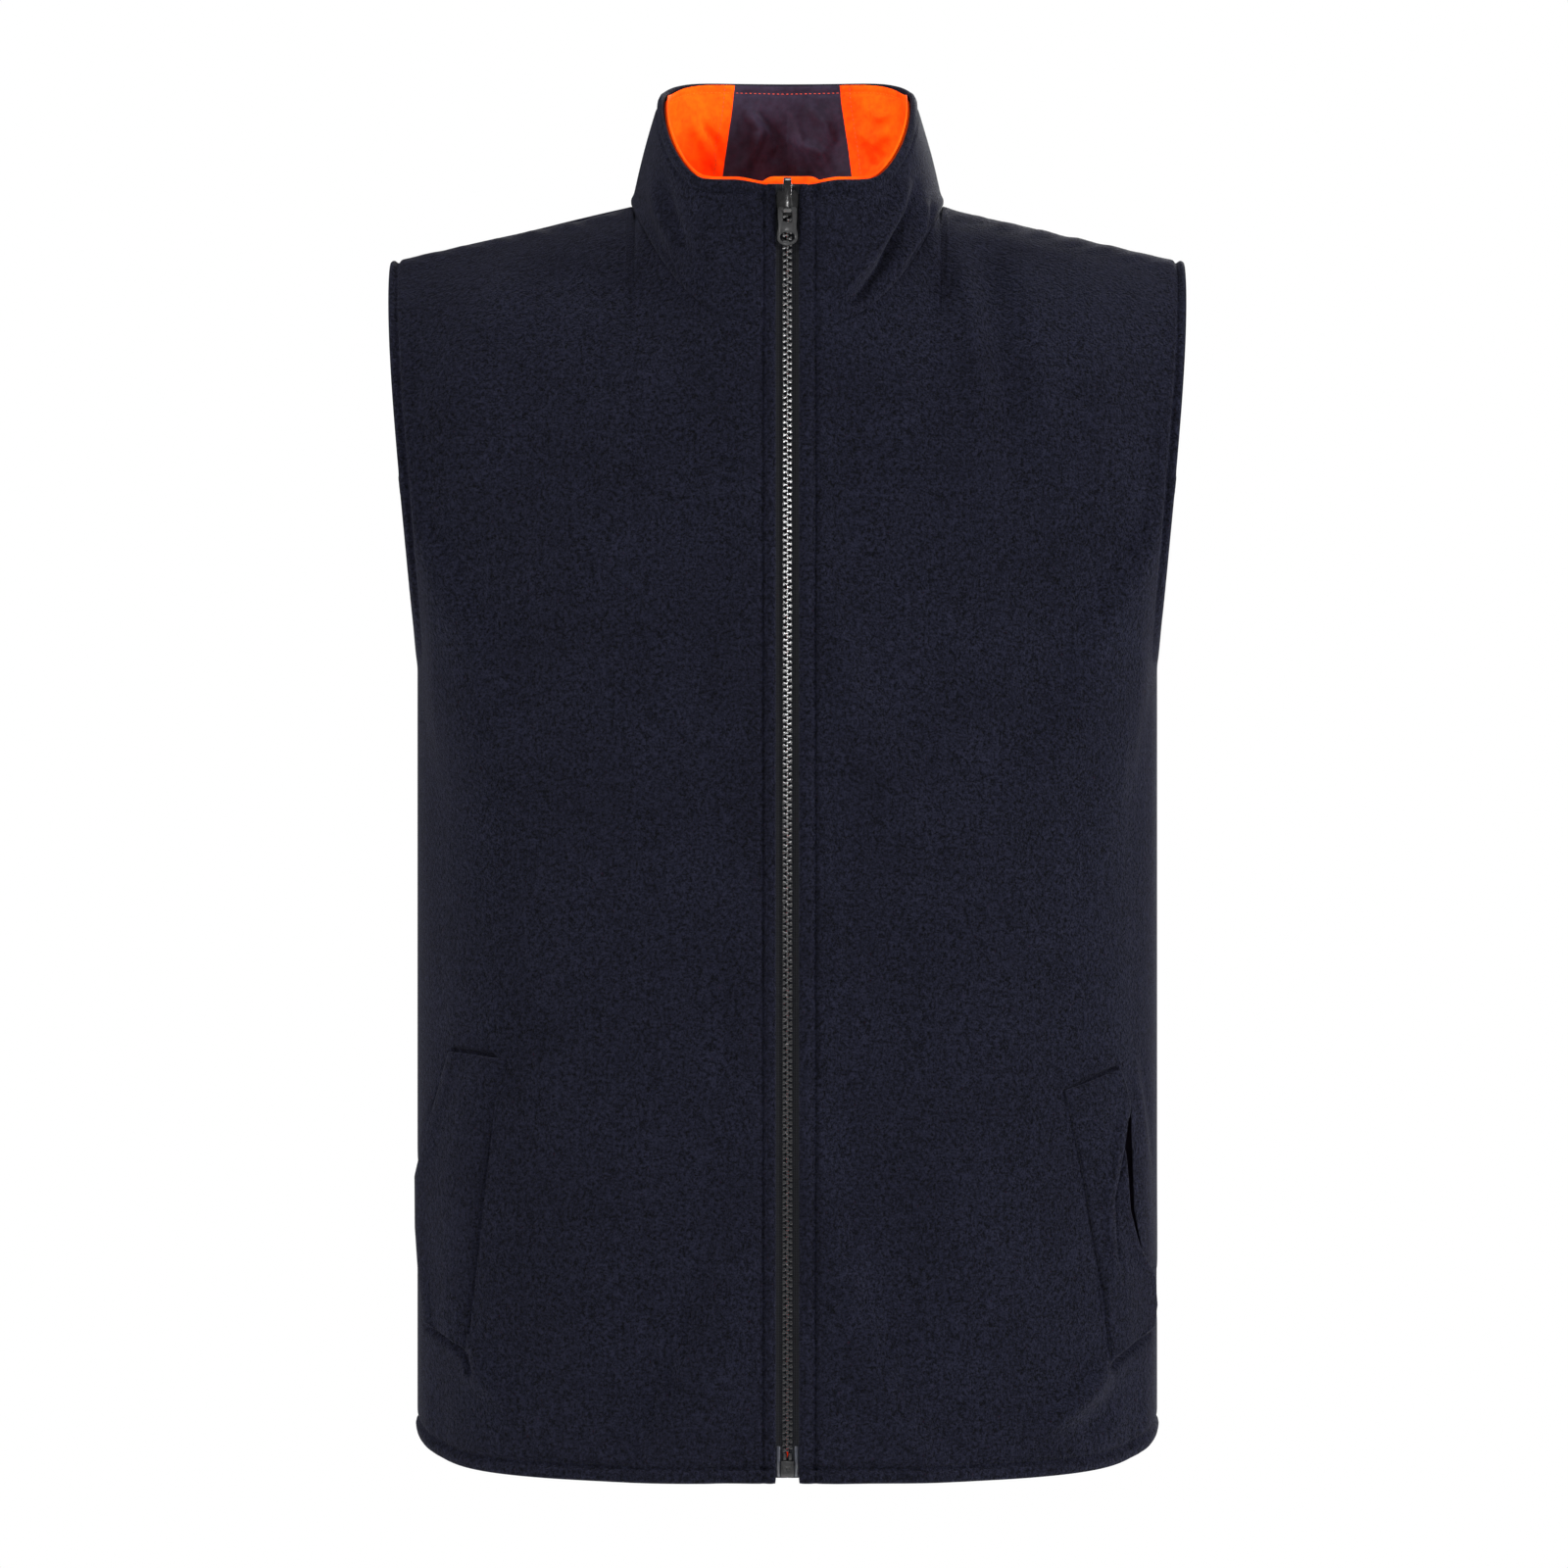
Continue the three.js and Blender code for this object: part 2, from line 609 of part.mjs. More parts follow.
const tapeFront = TAPE_Y - TAPE_THICKNESS / 2;
const tapeBack = TAPE_Y + TAPE_THICKNESS / 2;
const chainFront = TAPE_Y - CHAIN_HALF_THICKNESS;
const chainBack = TAPE_Y + CHAIN_HALF_THICKNESS;

function zipPair(name, x0, x1, y0, y1, z0, z1, colour) {
  addPiece(`${name}_right`, block(-x1, -x0, y0, y1, z0, z1), colour);
  addPiece(`${name}_left`, block(x0, x1, y0, y1, z0, z1), colour);
}

zipPair(
  'zip_tape', CHAIN_HALF_WIDTH + 0.3, TAPE_OUTER_X, tapeFront, tapeBack,
  HEM_Z + 2.4, COLLAR_FRONT_TOP_Z - 1, COLOURS.tape,
);
zipPair(
  'tooth_chain', CHAIN_INNER_X, CHAIN_HALF_WIDTH, chainFront, chainBack,
  CHAIN_BOTTOM_Z, CHAIN_TOP_Z, COLOURS.plastic,
);
zipPair(
  'top_stop', CHAIN_INNER_X, CHAIN_HALF_WIDTH, chainFront - 0.2, chainBack + 0.2,
  CHAIN_TOP_Z + 0.3, CHAIN_TOP_Z + 2.7, COLOURS.plastic,
);
zipPair(
  'tape_end_film', CHAIN_HALF_WIDTH + 1.2, FLEECE_EDGE_X - 0.4, tapeFront - 0.45, tapeFront - 0.2,
  HEM_Z + 3, HEM_Z + 20, COLOURS.film,
);
addPiece(
  'box_pin',
  block(-2.5, -CHAIN_INNER_X, chainFront + 0.3, chainBack - 0.3, BOX_TOP_Z + 0.3, CHAIN_BOTTOM_Z - 0.3),
  COLOURS.plastic,
);
addPiece(
  'insertion_pin',
  block(CHAIN_INNER_X, 2.5, chainFront + 0.3, chainBack - 0.3, BOX_TOP_Z + 0.3, CHAIN_BOTTOM_Z - 0.3),
  COLOURS.plastic,
);

const boxHalfWidth = 3.85;
const boxFront = TAPE_Y - 2.2;
const boxBody = toSolid(block(
  -boxHalfWidth, boxHalfWidth, boxFront, TAPE_Y + 2.2, BOX_BOTTOM_Z, BOX_TOP_Z,
));
const boxMark = toSolid(block(
  -1.1, 1.1, boxFront - 1, boxFront + 0.6, BOX_BOTTOM_Z + 3.2, BOX_BOTTOM_Z + 5.4,
));
const tapeSlots = [-1, 1].map((side) => toSolid(block(
  Math.min(side * 2.9, side * 5), Math.max(side * 2.9, side * 5),
  tapeFront - 0.3, tapeBack + 0.3, BOX_BOTTOM_Z - 1, BOX_TOP_Z + 1,
)));
const box = boxBody.subtract(boxMark).subtract(tapeSlots[0]).subtract(tapeSlots[1]);
addPiece('retainer_box', toGeometry(box), COLOURS.plastic);

// ================================================================ slider, rail and pull

const plateFront = TAPE_Y - CHANNEL_HALF - PLATE_THICKNESS;
const plateBack = TAPE_Y + CHANNEL_HALF + PLATE_THICKNESS;
const sliderBottom = SLIDER_TOP_Z - SLIDER_LENGTH;

// The plates are wide at the top, where the two rows of teeth part, and narrow at the bottom.
function plateOutline() {
  const w = SLIDER_HALF_WIDTH;
  return [
    [-w + 1.4, SLIDER_TOP_Z], [-w, SLIDER_TOP_Z - 2], [-w, SLIDER_TOP_Z - 7],
    [-w + 1.1, sliderBottom + 1], [-w + 2, sliderBottom],
    [w - 2, sliderBottom], [w - 1.1, sliderBottom + 1],
    [w, SLIDER_TOP_Z - 7], [w, SLIDER_TOP_Z - 2], [w - 1.4, SLIDER_TOP_Z],
  ];
}

function flange(side, y0, y1) {
  const inner = side * (SLIDER_HALF_WIDTH - 1.9);
  const outer = side * (SLIDER_HALF_WIDTH - 1.1);
  return toSolid(block(
    Math.min(inner, outer), Math.max(inner, outer), y0, y1, sliderBottom + 1.2, SLIDER_TOP_Z - 2,
  ));
}

let slider = toSolid(prismAlongY(plateOutline(), plateFront, plateFront + PLATE_THICKNESS));
slider = slider.add(toSolid(prismAlongY(plateOutline(), plateBack - PLATE_THICKNESS, plateBack)));
slider = slider.add(toSolid(block(
  -POST_HALF_WIDTH, POST_HALF_WIDTH, plateFront + 0.5, plateBack - 0.5, SLIDER_TOP_Z - 6, SLIDER_TOP_Z - 0.6,
)));
[-1, 1].forEach((side) => {
  slider = slider.add(flange(side, plateFront + 0.6, tapeFront - 0.45));
  slider = slider.add(flange(side, tapeBack + 0.45, plateBack - 0.6));
});
addPiece('slider_body', toGeometry(slider), COLOURS.plastic);

// The rail carries the pull over the top of the slider, so it hangs on either face. It is wide
// in front and behind, and a thin blade where it passes between the two rows of teeth.
const railFrontY = plateFront - 2.9;
const railBackY = plateBack + 1.7;
const railTopZ = SLIDER_TOP_Z + 7.4;
const railFootZ = sliderBottom + 0.7;

function arc(centreY, centreZ, radius, from, to, steps) {
  return spread(steps).map((t) => {
    const angle = mix(from, to, t);
    return [centreY + radius * Math.cos(angle), centreZ + radius * Math.sin(angle)];
  });
}

function railSide(faceY, legY, sign) {
  const t = RAIL_THICKNESS;
  const outerR = Math.abs(legY - faceY) + t - 0.3;
  const footTop = railFootZ + t;
  const out = sign > 0 ? 0 : Math.PI;
  return {
    outerLow: arc(faceY + sign * 0.3, railFootZ + outerR, outerR, -Math.PI / 2, sign > 0 ? 0 : -Math.PI, 5),
    innerLow: arc(
      faceY + sign * 0.3, footTop + outerR - t, outerR - t, sign > 0 ? 0 : -Math.PI, -Math.PI / 2, 5,
    ),
    out,
  };
}

const frontLeg = railSide(plateFront, railFrontY, -1);
const backLeg = railSide(plateBack, railBackY, 1);
const topRadius = 3.2;
const frontArc = arc(
  railFrontY - RAIL_THICKNESS + topRadius, railTopZ - topRadius, topRadius, Math.PI, Math.PI / 2, 5,
);
const frontArcInner = arc(
  railFrontY - RAIL_THICKNESS + topRadius, railTopZ - topRadius, topRadius - RAIL_THICKNESS,
  Math.PI / 2, Math.PI, 5,
);
const frontRail = prismAlongX(
  [
    [plateFront + 0.02, railFootZ], ...frontLeg.outerLow, ...frontArc,
    [chainFront - 0.5, railTopZ], [chainFront - 0.5, railTopZ - RAIL_THICKNESS], ...frontArcInner,
    ...frontLeg.innerLow, [plateFront + 0.02, railFootZ + RAIL_THICKNESS],
  ],
  -RAIL_HALF_WIDTH, RAIL_HALF_WIDTH,
);
const backArc = arc(
  railBackY + RAIL_THICKNESS - topRadius, railTopZ - topRadius, topRadius, 0, Math.PI / 2, 5,
);
const backArcInner = arc(
  railBackY + RAIL_THICKNESS - topRadius, railTopZ - topRadius, topRadius - RAIL_THICKNESS,
  Math.PI / 2, 0, 5,
);
const backRail = prismAlongX(
  [
    [plateBack - 0.02, railFootZ], ...backLeg.outerLow, ...backArc,
    [chainBack + 0.5, railTopZ], [chainBack + 0.5, railTopZ - RAIL_THICKNESS], ...backArcInner,
    ...backLeg.innerLow, [plateBack - 0.02, railFootZ + RAIL_THICKNESS],
  ],
  -RAIL_HALF_WIDTH, RAIL_HALF_WIDTH,
);
const blade = block(
  -POST_HALF_WIDTH, POST_HALF_WIDTH, chainFront - 1, chainBack + 1, railTopZ - RAIL_THICKNESS, railTopZ,
);
const rail = toSolid(frontRail).add(toSolid(backRail)).add(toSolid(blade));
const railCut = toSolid(block(
  -SLIDER_HALF_WIDTH, SLIDER_HALF_WIDTH, plateFront - 0.04, plateBack + 0.04, sliderBottom - 2, SLIDER_TOP_Z,
));
addPiece('pull_rail', toGeometry(rail.subtract(railCut)), COLOURS.plastic);

// The pull hangs from its top bar, which lies between the rail and the slider's front plate.
const pullY = plateFront - 1.45;
const pullPivotZ = sliderBottom + 3.8;
const pullTopZ = pullPivotZ + 0.9;
const pullBottomZ = pullTopZ - PULL_LENGTH;

function pullOutline() {
  const half = [
    [4.6, pullTopZ], [5.3, pullTopZ - 1], [5.3, pullTopZ - 6.5], [5, pullTopZ - 9.5],
    [5.1, pullTopZ - 12], [5.7, pullTopZ - 14.8],
  ];
  const end = spread(8).map((t) => {
    const angle = mix(0.15, Math.PI / 2, t);
    return [5.85 * Math.cos(angle), pullBottomZ + 5 - 5 * Math.sin(angle)];
  });
  const right = [...half, ...end.slice(0, -1), [0, pullBottomZ]];
  return [...right, ...right.slice(0, -1).reverse().map(([x, z]) => [-x, z])];
}

function roundedHole(halfWidth, top, bottom, radius) {
  const corners = [
    [halfWidth - radius, top - radius, 0], [radius - halfWidth, top - radius, Math.PI / 2],
    [radius - halfWidth, bottom + radius, Math.PI], [halfWidth - radius, bottom + radius, Math.PI * 1.5],
  ];
  return corners.flatMap(([x, z, start]) => spread(4).map((t) => {
    const angle = start + t * Math.PI / 2;
    return [x + radius * Math.cos(angle), z + radius * Math.sin(angle)];
  }));
}

const slotTop = pullTopZ - 1.8;
const pullSlot = roundedHole(PULL_SLOT_HALF_WIDTH, slotTop, slotTop - PULL_SLOT_LENGTH, 0.6);
const pullEye = roundedHole(4.2, pullBottomZ + 7.4, pullBottomZ + 2, 2.6);
addPiece(
  'pull_tab',
  prismAlongY(pullOutline(), pullY - PULL_THICKNESS / 2, pullY + PULL_THICKNESS / 2, [pullSlot, pullEye]),
  COLOURS.plastic,
);

// ================================================================ storm flap

const flapBeadY = TAPE_Y + 6.1;
const flapBack = flapBeadY + FLAP_BEAD_RADIUS;
const flapTop = COLLAR_FRONT_TOP_Z + 3.7;
const flapBottom = HEM_Z + 12;
const flapSheet = prismAlongY(
  [
    [FLAP_RIGHT_X, flapBottom], [FLAP_HINGE_X, flapBottom], [FLAP_HINGE_X, flapTop - 3],
    [FLAP_HINGE_X - 8, flapTop], [FLAP_RIGHT_X + 8, flapTop], [FLAP_RIGHT_X, flapTop - 5],
  ],
  flapBack - FLAP_THICKNESS, flapBack,
);
const bead = new THREE.CylinderGeometry(
  FLAP_BEAD_RADIUS, FLAP_BEAD_RADIUS, flapTop - 4 - flapBottom, 16,
);
bead.rotateX(Math.PI / 2);
bead.translate(FLAP_HINGE_X, flapBeadY, (flapTop - 4 + flapBottom) / 2);
addPiece('storm_flap', toGeometry(toSolid(flapSheet).add(toSolid(bead))), COLOURS.orange);

// ================================================================ hanger loop

const loopY = torsoY(LOOP_HALF_WIDTH, neckZ(LOOP_HALF_WIDTH, 1), 1) - SHELL_END - 1.6;
const loopTop = NECK_BACK_Z + 3;
const loopBottom = loopTop - LOOP_DROP;

function loopOutline(halfWidth, bottom, radius) {
  const left = arc(-halfWidth + radius, bottom + radius, radius, Math.PI, Math.PI * 1.5, 5);
  const right = arc(halfWidth - radius, bottom + radius, radius, Math.PI * 1.5, Math.PI * 2, 5);
  return [...left, ...right];
}

const loopShape = [
  [-LOOP_HALF_WIDTH, loopTop], ...loopOutline(LOOP_HALF_WIDTH, loopBottom, 10), [LOOP_HALF_WIDTH, loopTop],
  [LOOP_HALF_WIDTH - LOOP_BAND, loopTop],
  ...loopOutline(LOOP_HALF_WIDTH - LOOP_BAND, loopBottom + LOOP_BAND, 4).reverse(),
  [-LOOP_HALF_WIDTH + LOOP_BAND, loopTop],
];
addPiece('hanger_loop', prismAlongY(loopShape, loopY - LOOP_THICKNESS, loopY), COLOURS.orange);

export default group;
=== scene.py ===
"""A reversible vest worn navy fleece side out, with a blaze orange woven shell inside.

Lengths are metres, +Z is up, the front faces -Y and +X is the wearer's left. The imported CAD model
gives where everything is; this file makes the cloth, the stitching, the zip's teeth and the finishes.
"""

import math

import bmesh
import bpy
import numpy as np
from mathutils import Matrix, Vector


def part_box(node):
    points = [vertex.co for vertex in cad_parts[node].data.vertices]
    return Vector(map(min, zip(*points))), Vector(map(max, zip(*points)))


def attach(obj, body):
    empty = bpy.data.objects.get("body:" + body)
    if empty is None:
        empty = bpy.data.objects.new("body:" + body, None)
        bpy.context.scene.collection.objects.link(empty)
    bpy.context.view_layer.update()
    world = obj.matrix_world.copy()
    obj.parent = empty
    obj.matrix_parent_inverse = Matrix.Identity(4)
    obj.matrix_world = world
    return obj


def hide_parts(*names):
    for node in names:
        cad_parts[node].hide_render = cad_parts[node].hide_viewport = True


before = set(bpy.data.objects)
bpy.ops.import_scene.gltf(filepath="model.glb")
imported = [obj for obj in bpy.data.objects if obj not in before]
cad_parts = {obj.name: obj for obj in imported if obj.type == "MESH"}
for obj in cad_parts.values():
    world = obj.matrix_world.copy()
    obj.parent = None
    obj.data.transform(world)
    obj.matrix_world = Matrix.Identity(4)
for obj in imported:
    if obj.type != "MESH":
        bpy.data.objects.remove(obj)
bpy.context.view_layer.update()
MM = 0.001
WORD = {-1: "right", 1: "left"}
RANDOM = np.random.default_rng(7)

# ------------------------------------------------------------------ sizes, from the CAD model
FRONT_LOW, FRONT_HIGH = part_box("fleece_front_left")
BACK_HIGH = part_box("fleece_back")[1]
TAPE_LOW, TAPE_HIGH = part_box("zip_tape_left")
CHAIN_LOW, CHAIN_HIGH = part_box("tooth_chain_left")

FRONT_Y = FRONT_LOW.y
BACK_Y = BACK_HIGH.y
CENTRE_Y = (FRONT_Y + BACK_Y) / 2
HALF_DEPTH = (BACK_Y - FRONT_Y) / 2
HEM_Z = FRONT_LOW.z
TIP_X = FRONT_HIGH.x
HALF_WIDTH = TIP_X - 15 * MM
EDGE_X = FRONT_LOW.x
CLOTH_EDGE_X = EDGE_X + 0.9 * MM
UNDERARM_Z = -268 * MM
SHOULDER_SLOPE = 0.229
NECK_X = 90 * MM
NECK_FRONT_Z = -77 * MM
NECK_BACK_Z = -10 * MM
COLLAR_TOP_X = 73 * MM
COLLAR_FRONT_Z = NECK_FRONT_Z + 82 * MM
COLLAR_BACK_Z = NECK_BACK_Z + 85 * MM
FLEECE = 3 * MM
SHELL = 0.7 * MM
POCKETING = 0.6 * MM
ZIP_TAPE = 0.55 * MM
SHELL_DEPTH = 4.6 * MM
ZIP_Y = (TAPE_LOW.y + TAPE_HIGH.y) / 2


# ------------------------------------------------------------------ small helpers
def mix(a, b, t):
    return a + (b - a) * t


def smooth(t):
    t = np.clip(t, 0, 1)
    return t * t * (3 - 2 * t)


def unit(v):
    return v / np.maximum(np.linalg.norm(v, axis=-1, keepdims=True), 1e-12)


def bell(distance, width):
    return np.exp(-((distance / width) ** 2))


def line_distance(x, z, line):
    """Distance in the XZ plane from each point to a bent line, and how far along it that is (0-1)."""
    best = np.full(np.shape(x), 1e9)
    along = np.zeros(np.shape(x))
    for k in range(len(line) - 1):
        ax, az = line[k]
        bx, bz = line[k + 1]
        dx, dz = bx - ax, bz - az
        t = np.clip(((x - ax) * dx + (z - az) * dz) / (dx * dx + dz * dz), 0, 1)
        d = np.hypot(x - ax - t * dx, z - az - t * dz)
        closer = d < best
        best = np.where(closer, d, best)
        along = np.where(closer, (k + t) / (len(line) - 1), along)
    return best, along


def ridge(x, z, line, width, height):
    """A soft fold along a line: a rise that fades out at both ends."""
    points = [(px * MM, pz * MM) for px, pz in line]
    distance, along = line_distance(x, z, points)
    fade = np.sin(np.pi * np.clip(along, 0.02, 0.98)) ** 0.7
    return height * MM * fade * bell(distance, width * MM)


def add_folds(relief, x, z, listed):
    """Relief with soft folds added, each listed as its line, half width and height in millimetres."""
    for line, width, height in listed:
        relief = relief + ridge(x, z, line, width, height)
    return relief


def waves(x, z, seed, wavelength, height):
    """Slow uneven undulation of hanging cloth."""
    dice = np.random.default_rng(seed)
    total = np.zeros(np.shape(x))
    for _ in range(7):
        angle = dice.uniform(-0.9, 0.9)
        length = wavelength * dice.uniform(0.7, 1.6) * MM
        phase = dice.uniform(0, 2 * math.pi)
        k = 2 * math.pi / length
        total += dice.uniform(0.5, 1) * np.sin(k * (x * math.cos(angle) + z * math.sin(angle)) + phase)
    return total * height * MM / 4


# ------------------------------------------------------------------ shape of the vest
def shoulder_z(x):
    return -SHOULDER_SLOPE * (np.abs(x) - NECK_X)


def edge_x(z):
    return mix(HALF_WIDTH, TIP_X, smooth((z - UNDERARM_Z) / (240 * MM)))


def reach_x(z):
    return HALF_WIDTH + 42 * MM * smooth((z - UNDERARM_Z) / (110 * MM))


def hem_z(x):
    share = np.minimum(1, np.abs(x) / HALF_WIDTH)
    return HEM_Z + (8 * share**3.5 + 14 * share**20) * MM


def neck_z(x, face):
    share = np.minimum(1, np.abs(x) / NECK_X)
    if face < 0:
        return NECK_FRONT_Z * (1 - share**2.8)
    return NECK_BACK_Z * (1 - share**2)


def torso_y(x, z, face):
    across = np.minimum(1, np.abs(x) / reach_x(z))
    rounding = (1 - across**3) ** (1 / 3)
    fall, curve = (140 * MM, 2.2) if face < 0 else (150 * MM, 1.5)
    drop = np.clip((shoulder_z(x) - z) / fall, 0, 1)
    shoulder = (1 - (1 - drop) ** curve) ** (1 / curve)
    centred = smooth(np.abs(x) / (70 * MM) - 0.1) if face < 0 else 1.0
    depth = HALF_DEPTH * rounding * mix(1, shoulder, centred)
    return CENTRE_Y + face * np.maximum(depth, 0.2 * MM)


def resample(line, count=None, shares=None):
    """Points along a line of points, evenly spaced by length."""
    steps = np.linalg.norm(np.diff(line, axis=0), axis=1)
    length = np.concatenate([[0], np.cumsum(steps)])
    at = (np.linspace(0, 1, count) if shares is None else np.asarray(shares)) * length[-1]
    return np.stack([np.interp(at, length, line[:, k]) for k in range(3)], axis=1)


def torso_grid(face, start_x, columns, rows, inset=0.0):
    """Points of one side of the torso, (rows, columns, 3), from the middle out to the side."""
    x = np.linspace(start_x, HALF_WIDTH, 600)
    section = np.stack([x, torso_y(x, UNDERARM_Z - 0.1, face), x * 0], axis=1)
    shares = (resample(section, columns)[:, 0] - start_x) / (HALF_WIDTH - start_x)
    corner = (NECK_X - start_x) / (TIP_X - start_x)
    nearest = int(np.argmin(np.abs(shares - corner)))
    shares[nearest] = corner
    grid = np.zeros((rows, columns, 3))
    for i, share in enumerate(shares):
        top_x = mix(start_x, TIP_X, share)
        high = neck_z(top_x, face) if top_x < NECK_X - 1e-6 else shoulder_z(top_x)
        low = float(hem_z(mix(start_x, HALF_WIDTH, share)))
        z = mix(low + inset, high - inset, 1 - (1 - np.linspace(0, 1, 900)) ** 2)
        armhole_inset = inset * smooth((z - UNDERARM_Z) / (20 * MM))
        px = mix(start_x, edge_x(z) - armhole_inset, share)
        column = np.stack([px, torso_y(px, z, face), z], axis=1)
        grid[:, i] = resample(column, rows)
    return grid


def both_sides(grid):
    left = grid[:, 1:][:, ::-1] * np.array([-1, 1, 1])
    return np.concatenate([left, grid], axis=1)


def grid_normals(grid, outward):
    across = np.gradient(grid, axis=1)
    along = np.gradient(grid, axis=0)
    normals = unit(np.cross(across, along))
    flip = np.sign((normals * outward(grid)).sum(-1, keepdims=True))
    flip[flip == 0] = 1
    return normals * flip


def torso_normals(grid, face):
    def outward(g):
        up = np.where(g[..., 2] > UNDERARM_Z, 0.03, 0.0)
        return np.stack([g[..., 0] * 0.4, np.full(up.shape, face * 0.06), up], axis=-1)

    normals = grid_normals(grid, outward)
    seam = np.abs(grid[..., 1] - CENTRE_Y) < 0.6 * MM
    shoulder = seam & (grid[..., 2] > UNDERARM_Z + 0.04)
    side = seam & ~shoulder
    sign = np.sign(grid[..., 0])
    tilt = math.hypot(1, SHOULDER_SLOPE)
    normals[shoulder] = np.stack(
        [sign[shoulder] * SHOULDER_SLOPE / tilt, sign[shoulder] * 0, sign[shoulder] ** 2 / tilt], axis=-1
    )
    normals[side] = np.stack([sign[side], sign[side] * 0, sign[side] * 0], axis=-1)
    return normals


def neck_line():
    t = np.linspace(0, 1, 400)
    x = mix(CLOTH_EDGE_X, NECK_X, 1 - (1 - t) ** 2)
    z = neck_z(x, -1)
    front = np.stack([x, torso_y(x, z, -1), z], axis=1)
    x = NECK_X * (1 - t * t)
    z = neck_z(x, 1)
    back = np.stack([x, torso_y(x, z, 1), z], axis=1)
    return np.concatenate([front, back[1:]])


def collar_top_line():
    back_y = float(torso_y(np.array(0.0), np.array(NECK_BACK_Z), 1)) - 3 * MM
    half = (back_y - FRONT_Y) / 2
    power = 2 / 3
    start = math.asin((CLOTH_EDGE_X / COLLAR_TOP_X) ** (1 / power))
    angle = np.linspace(start, math.pi, 900)
    x = COLLAR_TOP_X * np.abs(np.sin(angle)) ** power
    y = (back_y + FRONT_Y) / 2 - half * np.sign(np.cos(angle)) * np.abs(np.cos(angle)) ** power
    along = (y - FRONT_Y) / (back_y - FRONT_Y)
    climb = (along - 0.062) / 0.938
    climb = np.clip((climb + np.sqrt(climb**2 + 0.0009)) / 2, 0, 1)
    rise = 1 - (1 - climb) ** 3
    crown = 7 * MM * smooth((along - 0.66) / 0.34)
    return np.stack([x, y, mix(COLLAR_FRONT_Z, COLLAR_BACK_Z - 7 * MM, rise) + crown], axis=1)


def collar_half(shares, rows, base_lift=0.0, top_lift=0.0):
    base = resample(neck_line(), shares=shares)
    top = resample(collar_top_line(), shares=shares)
    up = unit(top - base)
    v = np.linspace(0, 1, rows)[:, None, None]
    grid = mix((base + up * base_lift)[None], (top + up * top_lift)[None], v)
    bulge = 1.2 * MM * np.sin(math.pi * v[..., 0]) * smooth(np.abs(grid[..., 0]) / (60 * MM) - 0.2)
    grid[..., 0] += bulge
    return grid


def collar_full(count, rows, base_lift=0.0, top_lift=0.0):
    half = collar_half(np.linspace(0, 1, count), rows, base_lift, top_lift)
    right = half * np.array([-1, 1, 1])
    return np.concatenate([right, half[:, :-1][:, ::-1]], axis=1)


def collar_normals(grid):
    def outward(g):
        return np.stack([g[..., 0], g[..., 1] + 0.02, g[..., 2] * 0], axis=-1)

    normals = grid_normals(grid, outward)
    flat = (np.abs(grid[..., 0]) < 20 * MM) & (grid[..., 1] < -60 * MM)
    normals[flat] = (0, -1, 0)
    return normals


# ------------------------------------------------------------------ meshes
def shade_smooth(mesh):
    mesh.polygons.foreach_set("use_smooth", [True] * len(mesh.polygons))


def new_object(name, vertices, faces, smooth_faces=True):
    mesh = bpy.data.meshes.new(name)
    mesh.from_pydata([tuple(v) for v in vertices], [], [tuple(f) for f in faces])
    mesh.update()
    if smooth_faces:
        shade_smooth(mesh)
    obj = bpy.data.objects.new(name, mesh)
    bpy.context.scene.collection.objects.link(obj)
    return obj


def border_loop(rows, columns):
    bottom = [(0, i) for i in range(columns)]
    right = [(j, columns - 1) for j in range(1, rows)]
    top = [(rows - 1, i) for i in range(columns - 2, -1, -1)]
    left = [(j, 0) for j in range(rows - 2, 0, -1)]
    return bottom + right + top + left


